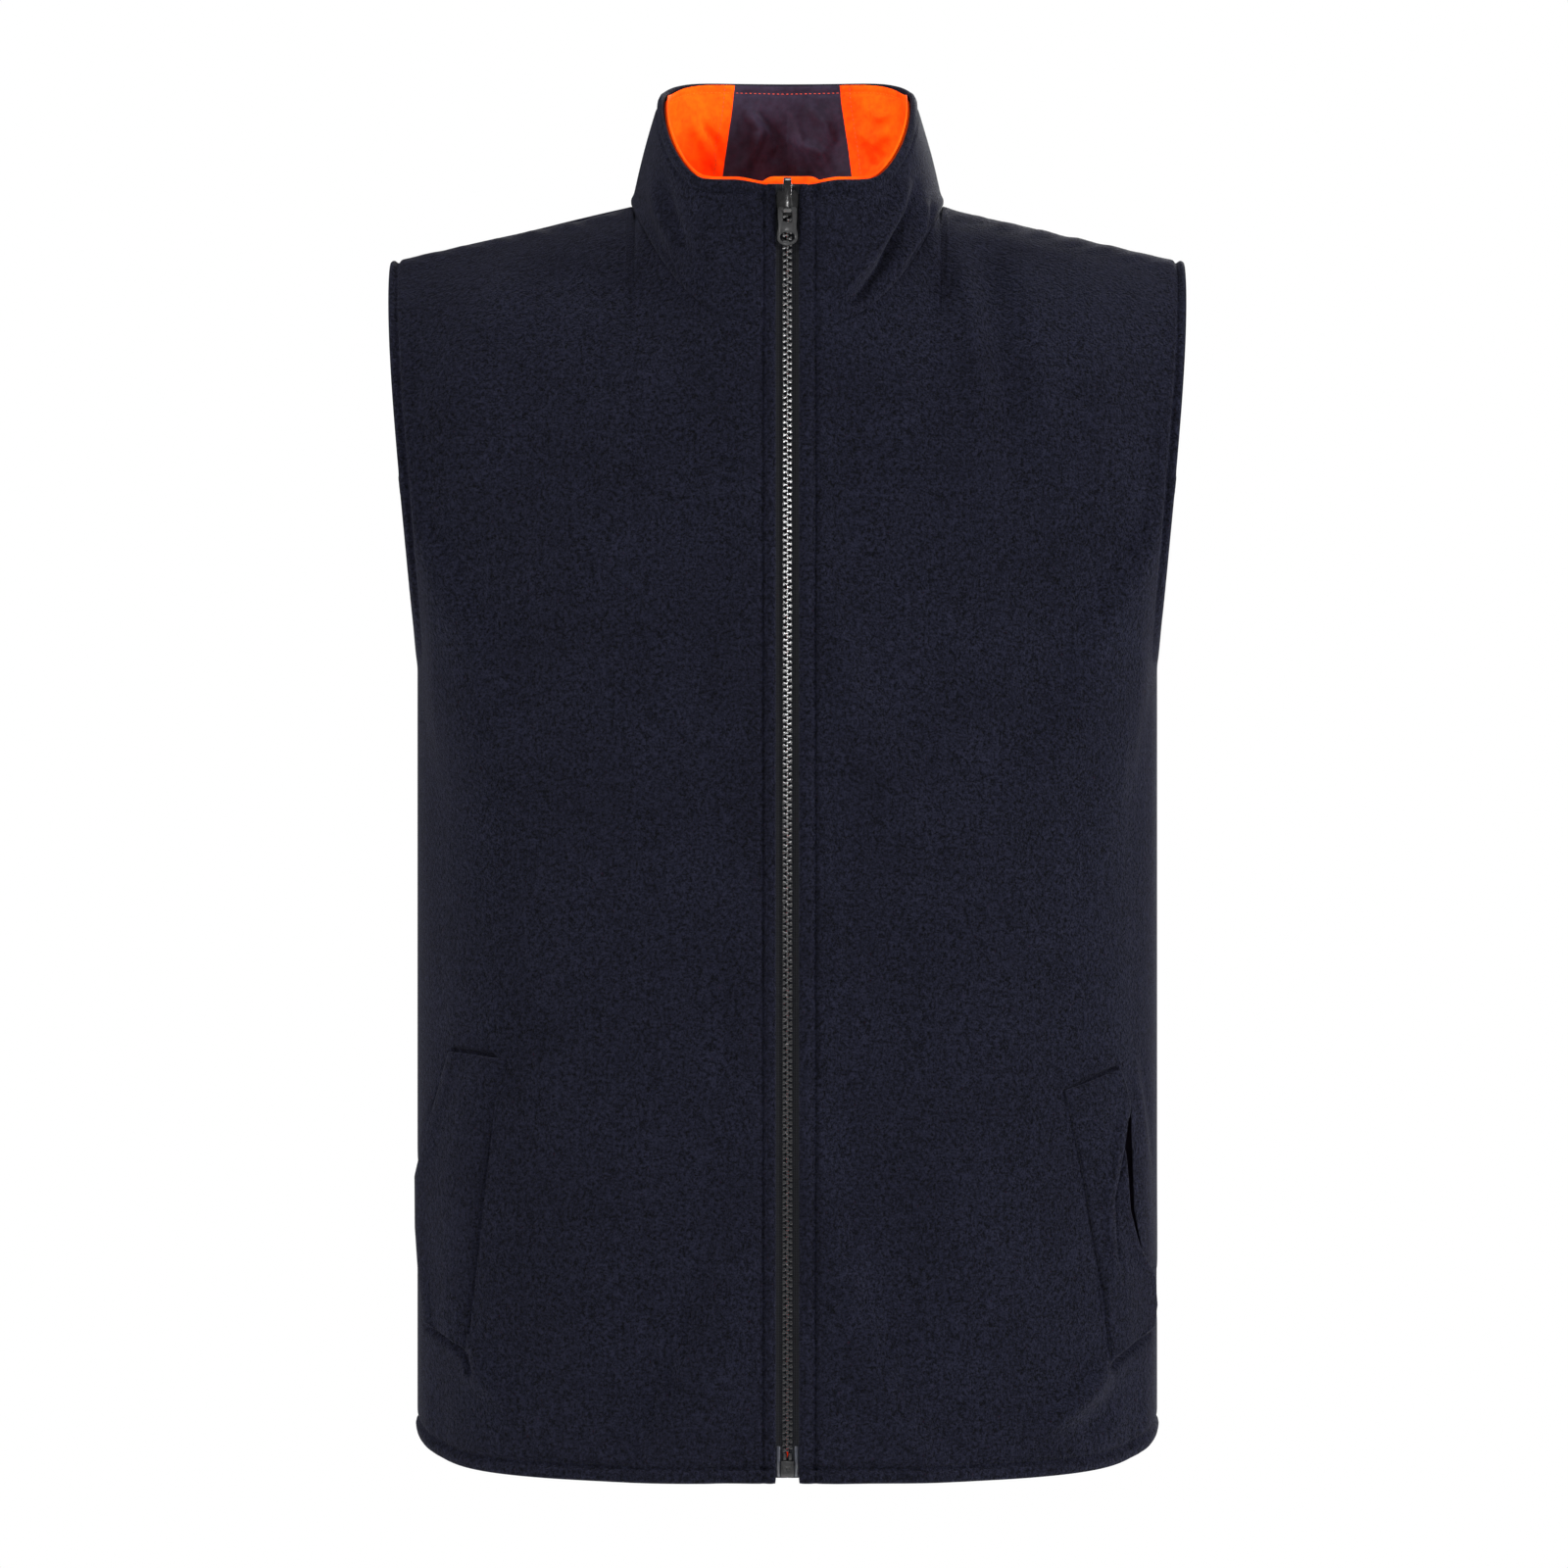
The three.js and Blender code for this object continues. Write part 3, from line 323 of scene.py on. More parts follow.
def cloth_slab(name, outer, normals, thickness, roll=0.6):
    """A closed sheet of cloth from a grid of points on its outer face, with rounded edges.

    Its UV map holds the distances in metres across and along the cloth, for the weave.
    """
    rows, columns = outer.shape[:2]
    inner = outer - normals * (thickness[..., None] if np.ndim(thickness) else thickness)
    count = rows * columns
    index = np.arange(count).reshape(rows, columns)
    a, b, c, d = index[:-1, :-1], index[:-1, 1:], index[1:, 1:], index[1:, :-1]
    quads = np.stack([a, b, c, d], axis=-1).reshape(-1, 4)
    faces = np.concatenate([quads, quads[:, ::-1] + count])
    loop = border_loop(rows, columns)
    j = np.array([p[0] for p in loop])
    i = np.array([p[1] for p in loop])
    middle = (outer[j, i] + inner[j, i]) / 2
    half = (outer[j, i] - inner[j, i]) / 2
    tangent = np.roll(middle, -1, axis=0) - np.roll(middle, 1, axis=0)
    away = unit(np.cross(tangent, unit(half)))
    inward_i = np.clip(i, 1, columns - 2)
    inward_j = np.clip(j, 1, rows - 2)
    toward = outer[inward_j, inward_i] - outer[j, i]
    if ((away * toward).sum(-1)).sum() > 0:
        away = -away
    reach = np.linalg.norm(half, axis=-1, keepdims=True)
    rims = []
    for angle in (0.28, 0.5, 0.72):
        turn = angle * math.pi
        rims.append(middle + half * math.cos(turn) + away * reach * math.sin(turn) * roll)
    vertices = np.concatenate([outer.reshape(-1, 3), inner.reshape(-1, 3), *rims])
    loops = [index[j, i]]
    loops += [2 * count + k * len(loop) + np.arange(len(loop)) for k in range(3)]
    loops += [index[j, i] + count]
    for low, high in zip(loops[:-1], loops[1:]):
        strip = np.stack([low, high, np.roll(high, -1), np.roll(low, -1)], axis=-1)
        faces = np.concatenate([faces, strip])
    obj = new_object(name, vertices, faces)
    step_u = np.linalg.norm(np.diff(outer, axis=1), axis=-1).mean(0)
    step_v = np.linalg.norm(np.diff(outer, axis=0), axis=-1).mean(1)
    u = np.concatenate([[0], np.cumsum(step_u)])
    v = np.concatenate([[0], np.cumsum(step_v)])
    grid_uv = np.stack(np.meshgrid(u, v), axis=-1).reshape(-1, 2)
    border_uv = grid_uv[index[j, i]]
    per_vertex = np.concatenate([grid_uv, grid_uv, border_uv, border_uv, border_uv])
    corner = np.zeros(len(obj.data.loops), dtype=np.int32)
    obj.data.loops.foreach_get("vertex_index", corner)
    layer = obj.data.uv_layers.new(name="cloth")
    layer.data.foreach_set("uv", per_vertex[corner].astype(np.float32).ravel())
    return obj


def outward_faces(obj):
    bm = bmesh.new()
    bm.from_mesh(obj.data)
    bmesh.ops.recalc_face_normals(bm, faces=bm.faces)
    bm.to_mesh(obj.data)
    bm.free()


def apply_modifiers(obj):
    depsgraph = bpy.context.evaluated_depsgraph_get()
    mesh = bpy.data.meshes.new_from_object(obj.evaluated_get(depsgraph))
    obj.modifiers.clear()
    old = obj.data
    obj.data = mesh
    bpy.data.meshes.remove(old)


def add_bevel(obj, width, segments, angle):
    """A bevel of this width in millimetres on edges sharper than the angle."""
    modifier = obj.modifiers.new("bevel", "BEVEL")
    modifier.width = width * MM
    modifier.segments = segments
    modifier.limit_method = "ANGLE"
    modifier.angle_limit = angle


def finish_piece(obj, material, body, replaced):
    obj.data.materials.clear()
    obj.data.materials.append(material)
    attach(obj, body)
    if replaced:
        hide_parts(replaced)


def cloth_piece(name, shape, normals, thickness, look, body="vest", roll=0.6, opening=None):
    """The cloth that takes the place of the CAD node of this name.

    The look is a material and a slot name; only the material is used.
    """
    piece = cloth_slab(f"{name}_cloth", shape, normals, thickness, roll)
    outward_faces(piece)
    if opening:
        cut_opening(piece, opening)
    finish_piece(piece, look[0], body, name)


def facing_front(grid):
    normals = np.zeros(grid.shape)
    normals[..., 1] = -1
    return normals


def stitches(name, line, normals, material, pitch=3.2, length=2.4, width=0.45, lift=-0.1):
    """A row of machine stitches: short threads that dive into the cloth at both ends."""
    steps = np.linalg.norm(np.diff(line, axis=0), axis=1)
    total = steps.sum()
    count = max(2, int(total / (pitch * MM)))
    shares = (np.arange(count) + 0.5) / count
    dense = np.concatenate([[0], np.cumsum(steps)]) / total
    centre = np.stack([np.interp(shares, dense, line[:, k]) for k in range(3)], axis=1)
    up = unit(np.stack([np.interp(shares, dense, normals[:, k]) for k in range(3)], axis=1))
    ahead = np.clip(shares + 0.5 / count, 0, 1)
    behind = np.clip(shares - 0.5 / count, 0, 1)
    points = [[np.interp(at, dense, line[:, k]) for k in range(3)] for at in (ahead, behind)]
    forward = unit(np.stack(points[0], axis=1) - np.stack(points[1], axis=1))
    side = unit(np.cross(forward, up))
    vertices, faces = [], []
    rings = [(-0.5, 0.25, -0.5), (-0.3, 0.85, 0.1), (0, 1.0, 0.45), (0.3, 0.85, 0.1), (0.5, 0.25, -0.5)]
    sides = 6
    for n in range(count):
        base = len(vertices)
        for t, fat, rise in rings:
            middle = centre[n] + forward[n] * t * length * MM + up[n] * (lift + rise * width * 0.6) * MM
            for k in range(sides):
                a = 2 * math.pi * k / sides
                vertices.append(
                    middle + (side[n] * math.cos(a) + up[n] * math.sin(a) * 0.8) * width * 0.5 * fat * MM
                )
        for r in range(len(rings) - 1):
            for k in range(sides):
                p = base + r * sides + k
                q = base + r * sides + (k + 1) % sides
                faces.append((p, q, q + sides, p + sides))
        faces.append(tuple(base + k for k in range(sides))[::-1])
        faces.append(tuple(base + (len(rings) - 1) * sides + k for k in range(sides)))
    finish_piece(new_object(name, vertices, faces), material, "vest", None)


# ------------------------------------------------------------------ materials
THREAD_SPACING = 0.34
TAPE_RIBS = 0.55
TAPE_PICKS = 0.45


def principled(name, colour, roughness, **values):
    material = bpy.data.materials.new(name)
    material.use_nodes = True
    tree = material.node_tree
    shader = tree.nodes["Principled BSDF"]
    shader.inputs["Base Color"].default_value = (*colour, 1)
    shader.inputs["Roughness"].default_value = roughness
    for key, value in values.items():
        shader.inputs[key.replace("_", " ")].default_value = value
    return material, tree, shader


def node(tree, kind, **settings):
    made = tree.nodes.new(kind)
    for key, value in settings.items():
        if key in made.inputs:
            made.inputs[key].default_value = value
        else:
            setattr(made, key, value)
    return made


def noise(tree, coordinates, scale, detail=3.0, roughness=0.55):
    made = node(tree, "ShaderNodeTexNoise", Scale=scale, Detail=detail, Roughness=roughness)
    tree.links.new(coordinates, made.inputs["Vector"])
    return made.outputs["Fac"]


def ramp(tree, value, stops):
    made = tree.nodes.new("ShaderNodeValToRGB")
    while len(made.color_ramp.elements) < len(stops):
        made.color_ramp.elements.new(0.5)
    for element, (place, colour) in zip(made.color_ramp.elements, stops):
        element.position = place
        element.color = (*colour, 1) if len(colour) == 3 else colour
    tree.links.new(value, made.inputs["Fac"])
    return made.outputs["Color"]


def bump(tree, shader, height, distance, strength=1.0, before=None):
    made = node(tree, "ShaderNodeBump", Distance=distance, Strength=strength)
    tree.links.new(height, made.inputs["Height"])
    if before is not None:
        tree.links.new(before, made.inputs["Normal"])
    tree.links.new(made.outputs["Normal"], shader.inputs["Normal"])
    return made.outputs["Normal"]


def combined(tree, operation, first, second):
    made = node(tree, "ShaderNodeMath", operation=operation)
    tree.links.new(first, made.inputs[0])
    tree.links.new(second, made.inputs[1])
    return made.outputs[0]


def coloured_by(tree, shader, first, second):
    """Sets the shader's colour to the product of two colours."""
    made = node(tree, "ShaderNodeMix", data_type="RGBA", blend_type="MULTIPLY")
    made.inputs["Factor"].default_value = 1.0
    tree.links.new(first, made.inputs[6])
    tree.links.new(second, made.inputs[7])
    tree.links.new(made.outputs[2], shader.inputs["Base Color"])


def bands(tree, coordinates, direction, scale, **values):
    made = node(tree, "ShaderNodeTexWave", wave_type="BANDS", bands_direction=direction, **values)
    made.inputs["Scale"].default_value = scale
    tree.links.new(coordinates, made.inputs["Vector"])
    return made.outputs["Fac"]


def object_space(tree):
    return tree.nodes.new("ShaderNodeTexCoord").outputs["Object"]


def fleece_material(name, dark, light):
    material, tree, shader = principled(
        name, dark, 0.95, Sheen_Weight=0.055, Sheen_Roughness=0.35, Specular_IOR_Level=0.05
    )
    shader.inputs["Sheen Tint"].default_value = (0.42, 0.42, 0.56, 1)
    space = object_space(tree)
    pile = noise(tree, space, 950.0, 3.0, 0.65)
    tufts = noise(tree, space, 470.0, 3.0, 0.65)
    patches = noise(tree, space, 22.0, 3.0, 0.5)
    nap = combined(tree, "MULTIPLY", pile, tufts)
    colour = ramp(tree, nap, [(0.16, dark), (0.37, light)])
    shade = ramp(tree, patches, [(0.3, (0.86, 0.86, 0.88)), (0.7, (1.12, 1.12, 1.1))])
    coloured_by(tree, shader, colour, shade)
    coarse = bump(tree, shader, tufts, 0.0021, 1.0)
    bump(tree, shader, pile, 0.0010, 1.0, coarse)
    return material


def woven_material(name, colour, shaded, roughness, sheen_tint, crease_shade_tones):
    """A plain weave on the cloth's own UV map, with slubs, and slanted streaks of two tones that are painted
    shade and light of creases.
    """
    material, tree, shader = principled(
        name, colour, roughness, Sheen_Weight=0.02, Sheen_Roughness=0.4, Specular_IOR_Level=0.06
    )
    shader.inputs["Sheen Tint"].default_value = (*sheen_tint, 1)
    uv = node(tree, "ShaderNodeUVMap", uv_map="cloth").outputs["UV"]
    space = object_space(tree)
    scale = 1 / (THREAD_SPACING * MM) / 2 / math.pi
    warp, weft = [bands(tree, uv, way, scale, Distortion=0.6, Detail=1.0) for way in ("X", "Y")]
    weave = combined(tree, "MAXIMUM", warp, weft)
    slub = noise(tree, space, 260.0, 4.0, 0.6)
    # Painted crease shade: patches here is a slanted, stretched noise that darkens and lightens the colour in
    # streaks, as if creases were shaded and lit. There is no fold in the geometry under it.
    crease_shade_slant = node(tree, "ShaderNodeMapping")
    crease_shade_slant.inputs["Rotation"].default_value = (0, 0.6, 0)
    crease_shade_slant.inputs["Scale"].default_value = (1.9, 1.0, 0.7)
    tree.links.new(space, crease_shade_slant.inputs["Vector"])
    patches = noise(tree, crease_shade_slant.outputs["Vector"], 34.0, 1.5, 0.45)
    base = ramp(tree, slub, [(0.3, shaded), (0.62, colour)])
    # tone holds the painted crease shade and light of those streaks, multiplied into the weave's colour.
    tone = ramp(tree, patches, [(0.36, crease_shade_tones[0]), (0.6, crease_shade_tones[1])])
    coloured_by(tree, shader, base, tone)
    first = bump(tree, shader, weave, 0.00012, 0.6)
    bump(tree, shader, slub, 0.0003, 0.35, first)
    return material


def plastic_material(name, colour, roughness, coat):
    material, tree, shader = principled(
        name, colour, roughness, Coat_Weight=coat, Coat_Roughness=0.12, Specular_IOR_Level=0.35
    )
    space = object_space(tree)
    grain = noise(tree, space, 2600.0, 3.0, 0.6)
    wear = noise(tree, space, 420.0, 3.0, 0.6)
    rough = node(tree, "ShaderNodeMapRange")
    rough.inputs["To Min"].default_value = roughness * 0.75
    rough.inputs["To Max"].default_value = roughness * 1.35
    tree.links.new(wear, rough.inputs["Value"])
    tree.links.new(rough.outputs["Result"], shader.inputs["Roughness"])
    tone = ramp(tree, wear, [(0.35, colour), (0.75, tuple(min(1, c * 1.9 + 0.002) for c in colour))])
    tree.links.new(tone, shader.inputs["Base Color"])
    bump(tree, shader, grain, 0.00004, 0.5)
    return material


def tape_material(name, colour, light):
    material, tree, shader = principled(name, colour, 0.85, Sheen_Weight=0.05, Specular_IOR_Level=0.15)
    space = object_space(tree)
    ribs = bands(tree, space, "X", 1 / (TAPE_RIBS * MM) / (2 * math.pi))
    picks = bands(tree, space, "Z", 1 / (TAPE_PICKS * MM) / (2 * math.pi))
    both = combined(tree, "MULTIPLY", ribs, picks)
    tone = ramp(tree, both, [(0.1, colour), (0.8, light)])
    tree.links.new(tone, shader.inputs["Base Color"])
    bump(tree, shader, both, 0.00018, 0.8)
    return material


def thread_material(name, colour):
    material, tree, shader = principled(name, colour, 0.8, Specular_IOR_Level=0.15)
    twist = noise(tree, object_space(tree), 3200.0, 2.0, 0.5)
    tone = ramp(tree, twist, [(0.35, tuple(c * 0.6 for c in colour)), (0.7, colour)])
    tree.links.new(tone, shader.inputs["Base Color"])
    bump(tree, shader, twist, 0.0001, 0.6)
    return material


NAVY = fleece_material("navy_fleece_nap", (0.0004, 0.0005, 0.0016), (0.0084, 0.0090, 0.0182))
# The last pair of colours given to each woven material is painted crease shade and light: darker in streaks
# as if shaded in creases, slightly lighter between.
ORANGE = woven_material(
    "orange_plain_weave", (1.0, 0.082, 0.0003), (0.9, 0.052, 0.0002), 0.85, (1, 0.3, 0.05),
    ((0.96, 0.7, 0.6), (1.03, 1.06, 1.0)),
)
NAVY_WOVEN = woven_material(
    "navy_plain_weave", (0.024, 0.0185, 0.034), (0.015, 0.011, 0.021), 0.6, (0.5, 0.4, 0.6),
    ((0.72, 0.68, 0.72), (1.0, 0.96, 1.0)),
)
TAPE = tape_material("zip_tape_weave", (0.0025, 0.0028, 0.004), (0.0105, 0.0115, 0.016))
PLASTIC = plastic_material("black_moulded_plastic", (0.0045, 0.0045, 0.005), 0.3, 0.1)
GLOSSY = plastic_material("glossy_black_plastic", (0.0022, 0.0022, 0.0025), 0.18, 0.3)
PULL = plastic_material("satin_black_plastic", (0.0085, 0.0085, 0.009), 0.34, 0.2)
TEETH = plastic_material("tooth_plastic", (0.005, 0.005, 0.006), 0.15, 0.6)
FILM = plastic_material("tape_end_film", (0.022, 0.024, 0.032), 0.35, 0.3)
NAVY_THREAD = thread_material("navy_thread", (0.0022, 0.0026, 0.005))
RED_THREAD = thread_material("orange_red_thread", (0.75, 0.085, 0.04))
ORANGE_THREAD = thread_material("orange_thread", (0.95, 0.14, 0.004))
NAVY_FLEECE = (NAVY, "navy_fleece")
ORANGE_SHELL = (ORANGE, "orange_woven")
NAVY_LINING = (NAVY_WOVEN, "navy_woven")

# ------------------------------------------------------------------ camera, light, floor
CAMERA_Y = -4.0
VIEW_WIDTH = 0.88
SENSOR = 36
camera_data = bpy.data.cameras.new("camera")
camera = bpy.data.objects.new("camera", camera_data)
bpy.context.scene.collection.objects.link(camera)
camera.location = (-0.0019, CAMERA_Y, -0.333)
camera.rotation_euler = (math.pi / 2, 0, 0)
camera_data.sensor_width = SENSOR
camera_data.lens = SENSOR * (FRONT_Y - CAMERA_Y) / VIEW_WIDTH
camera_data.clip_end = 100
bpy.context.scene.camera = camera


def area_light(name, place, target, size, power):
    data = bpy.data.lights.new(name, "AREA")
    data.shape = "DISK"
    data.size = size
    data.energy = power
    light = bpy.data.objects.new(name, data)
    bpy.context.scene.collection.objects.link(light)
    light.location = place
    light.rotation_euler = (Vector(target) - Vector(place)).to_track_quat("-Z", "Y").to_euler()


area_light("key_light", (-2.6, -1.2, 1.3), (0, 0, -0.3), 0.6, 150)
area_light("fill_light", (2.6, -1.1, 0.5), (0, 0, -0.35), 0.6, 165)
area_light("top_light", (0.1, -0.7, 2.3), (0, 0, -0.1), 0.9, 42)
area_light("back_light", (0.9, 3.0, 0.9), (0, 0, -0.35), 1.2, 130)
area_light("glint_light", (0.0, -4.05, -0.1), (0, 0, -0.2), 0.18, 9)

world = bpy.data.worlds.new("studio")
world.use_nodes = True
sky = world.node_tree
white = sky.nodes["Background"]
white.inputs["Color"].default_value = (1, 1, 1, 1)
white.inputs["Strength"].default_value = 1.0
dim = sky.nodes.new("ShaderNodeBackground")
dim.inputs["Color"].default_value = (1, 1, 1, 1)
dim.inputs["Strength"].default_value = 0.3
choose = sky.nodes.new("ShaderNodeMixShader")
seen = sky.nodes.new("ShaderNodeLightPath")
sky.links.new(seen.outputs["Is Camera Ray"], choose.inputs[0])
sky.links.new(dim.outputs[0], choose.inputs[1])
sky.links.new(white.outputs[0], choose.inputs[2])
sky.links.new(choose.outputs[0], sky.nodes["World Output"].inputs["Surface"])
bpy.context.scene.world = world
bpy.context.scene.view_settings.view_transform = "Standard"

FLOOR_RADIUS = 3
FLOOR_Z = -1.3
FLOOR_SIDES = 96
floor_angles = np.linspace(0, 2 * math.pi, FLOOR_SIDES + 1)[:-1]
floor_points = [(FLOOR_RADIUS * math.cos(a), FLOOR_RADIUS * math.sin(a), FLOOR_Z) for a in floor_angles]
floor = new_object("floor", floor_points, [tuple(range(FLOOR_SIDES))])
FLOOR_MATERIAL, _, _ = principled("pale_floor", (0.9, 0.9, 0.9), 0.9, Emission_Strength=0.75)
FLOOR_MATERIAL.node_tree.nodes["Principled BSDF"].inputs["Emission Color"].default_value = (1, 1, 1, 1)
floor.data.materials.append(FLOOR_MATERIAL)

# ------------------------------------------------------------------ cloth simulation
FINE = 1.0


def count_of(n):
    return int(n * FINE)


def simulate(grid, normals, held, frames, slack, stiffness, bending, cap):
    """Hang a coarse sheet that is a little larger than the place it is held in.

    Gives how far each point of the grid moves along its normal, in metres, as a field to be added
    to a finer grid of the same shape.
    """
    rows, columns = grid.shape[:2]
    index = np.arange(rows * columns).reshape(rows, columns)
    faces = np.stack([index[:-1, :-1], index[:-1, 1:], index[1:, 1:], index[1:, :-1]], axis=-1).reshape(-1, 4)
    start = grid + normals * (RANDOM.normal(0, 0.25 * MM, (rows, columns, 1)) * (1 - held[..., None]))
    obj = new_object("hanging_cloth", start.reshape(-1, 3), faces)
    group = obj.vertex_groups.new(name="held")
    for number, weight in enumerate(held.ravel()):
        if weight > 0.01:
            group.add([number], float(min(1, weight)), "REPLACE")
    modifier = obj.modifiers.new("cloth", "CLOTH")
    settings = modifier.settings
    settings.quality = 5
    settings.mass = 0.28
    settings.air_damping = 3
    settings.tension_stiffness = stiffness
    settings.compression_stiffness = stiffness
    settings.shear_stiffness = stiffness / 3
    settings.bending_stiffness = bending
    settings.vertex_group_mass = "held"
    settings.pin_stiffness = 1
    settings.shrink_min = -slack
    settings.shrink_max = -slack
    modifier.collision_settings.use_collision = False
    modifier.point_cache.frame_start = 1
    modifier.point_cache.frame_end = frames
    scene = bpy.context.scene
    before = scene.frame_current
    for step in range(1, frames + 1):
        scene.frame_set(step)
    depsgraph = bpy.context.evaluated_depsgraph_get()
    mesh = obj.evaluated_get(depsgraph).to_mesh()
    settled = np.zeros(len(mesh.vertices) * 3, dtype=np.float32)
    mesh.vertices.foreach_get("co", settled)
    obj.evaluated_get(depsgraph).to_mesh_clear()
    bpy.data.objects.remove(obj)
    scene.frame_set(before)
    moved = ((settled.reshape(rows, columns, 3) - grid) * normals).sum(-1)
    for _ in range(3):
        padded = np.pad(moved, 1, mode="edge")
        above_below = 4 * padded[1:-1, 1:-1] + padded[:-2, 1:-1] + padded[2:, 1:-1]
        moved = (above_below + padded[1:-1, :-2] + padded[1:-1, 2:]) / 8
    return cap * np.tanh(moved / cap)


def read_field(field, v, u):
    """Smooth lookup in a field of rows and columns at shares v and u (0-1)."""
    rows, columns = field.shape
    y = np.clip(v, 0, 1) * (rows - 1)
    x = np.clip(u, 0, 1) * (columns - 1)
    j = np.minimum(y.astype(int), rows - 2)
    i = np.minimum(x.astype(int), columns - 2)
    b, a = smooth(y - j) * 0.5 + (y - j) * 0.5, smooth(x - i) * 0.5 + (x - i) * 0.5
    low = mix(field[j, i], field[j, i + 1], a)
    high = mix(field[j + 1, i], field[j + 1, i + 1], a)
    return mix(low, high, b)


class TorsoFolds:
    """Folds of one side of the torso, read by how far across and how high a point is."""

    def __init__(self, face, side, slack):
        columns, rows = 28, 84
        self.start = EDGE_X if face < 0 else 0.0
        self.side = side
        grid = torso_grid(face, self.start, columns, rows)
        if face < 0:
            grid = grid * np.array([side, 1, 1])
        else:
            grid = both_sides(grid)
        normals = torso_normals(grid, face)
        width = grid.shape[1]
        u = np.linspace(0, 1, width)[None, :]
        v = np.linspace(0, 1, rows)[:, None]
        from_side = 1 - np.abs(2 * u - 1) if face > 0 else np.minimum(1 - u, u)
        edge = 1 - smooth(from_side / (0.09 if face < 0 else 0.12))
        top = smooth((v - 0.93) / 0.07)
        hem = 0.25 * (1 - smooth(v / 0.03))
        held = np.clip(np.maximum(np.maximum(edge, top), hem) + 0 * v, 0, 1)
        moved = simulate(grid, normals, held, 34, slack, 6.0, 0.6, 3.6 * MM)
        shares = np.abs(grid[-1, :, 0])
        if face < 0:
            self.shares = (shares - self.start) / (TIP_X - self.start)
        else:
            self.shares = (grid[-1, :, 0] / TIP_X + 1) / 2
        heights = np.linspace(HEM_Z, 0.0, 160)
        self.field = np.stack([np.interp(heights, grid[:, i, 2], moved[:, i]) for i in range(width)], axis=1)
        self.face = face

    def at(self, x, z):
        if self.face < 0:
            share = (np.abs(x) - self.start) / (edge_x(z) - self.start)
        else:
            share = (x / edge_x(z) + 1) / 2
        columns = np.interp(share, self.shares, np.linspace(0, 1, len(self.shares)))
        return read_field(self.field, (z - HEM_Z) / -HEM_Z, columns)


# ------------------------------------------------------------------ fleece panels
HEM_SEAM = 7.6 * MM
FRONT_SEAM_RIGHT = 6.6 * MM
FRONT_SEAM_LEFT = 9.4 * MM
ARM_SEAM = 3.6 * MM
FOLDS = {
    "front_right": TorsoFolds(-1, -1, 0.008),
    "front_left": TorsoFolds(-1, 1, 0.008),
    "back": TorsoFolds(1, 1, 0.012),
}

# Folds as their line, half width and height in millimetres; a negative height is a hollow.
BACK_SHOULDER_FOLDS = [([(120, -60), (150, -150), (165, -260)], 24, 2.4)]
BACK_WAIST_FOLDS = [([(-160, -330), (-60, -345), (60, -340), (170, -325)], 20, 2.0)]
FRONT_FOLDS = {
    -1: [
        ([(150, -30), (178, -80), (205, -150)], 16, 3.0),
        ([(120, -60), (150, -140), (165, -240)], 26, -2.4),
        ([(74, -86), (84, -120), (88, -170)], 12, 1.6),
        ([(181, -648), (176, -668), (150, -690)], 8, 3.2),
    ],
    1: [
        ([(92, -12), (104, -70), (112, -150)], 9, 3.8),
        ([(112, -18), (123, -80), (128, -160)], 10, -3.2),
        ([(136, -26), (142, -90), (150, -170)], 12, 2.6),
        ([(168, -40), (176, -120), (184, -210)], 16, 2.4),
        ([(186, -656), (177, -674), (162, -687), (140, -701)], 7, 5.5),
        ([(196, -668), (184, -690), (164, -702)], 8, -2.6),
    ],
}
# Under the left pocket's welt the front's cloth stands up beside the slit.
SLIT_FOLDS = {
    -1: [],
    1: [
        ([(200, -505), (203, -560), (207, -612)], 4.5, 2.4),
        ([(199, -490), (204, -520), (208, -560)], 2.5, 1.4),
        ([(203, -480), (206, -520), (209, -560)], 2.0, -1.2),
    ],
}
COLLAR_FOLDS = [
    ([(68, 12), (62, -8), (47, -36), (25, -62)], 4.0, 6.2),
    ([(73, 6), (67, -15), (53, -42), (34, -66)], 2.6, -6.2),
    ([(79, 0), (74, -22), (60, -44)], 3.2, 5.4),
    ([(83.5, 0), (79, -20), (66, -44)], 2.2, -4.4),
    ([(-77, 12), (-72, -10), (-62, -34)], 3.8, 3.8),
    ([(-70, 12), (-66, -10), (-56, -34)], 3.8, -3.2),
]
LINING_CREASES = [
    ([(-27, 62), (-16, 48), (-22, 34), (-30, 22)], 3.2, 2.4),
    ([(-20, 60), (-6, 46), (-2, 34), (6, 22)], 2.8, -2.6),
    ([(4, 56), (10, 40), (22, 34), (30, 22)], 3.0, 2.4),
    ([(-12, 30), (0, 38), (14, 26), (18, 12)], 3.0, -2.2),
    ([(12, 64), (24, 52), (30, 40)], 3.0, 2.0),
    ([(-60, 50), (-52, 40), (-46, 24)], 3.4, 2.6),
    ([(-54, 52), (-44, 40), (-41, 26)], 2.6, -2.2),
    ([(44, 48), (54, 40), (64, 46)], 3.4, 2.6),
    ([(48, 42), (56, 30), (62, 34)], 3.0, -2.4),
    ([(50, 62), (58, 54), (64, 56)], 2.4, 1.6),
]


def front_seam(side):
    return FRONT_SEAM_LEFT if side > 0 else FRONT_SEAM_RIGHT


def groove(distance, width, depth):
    return -depth * MM * bell(distance, width * MM)


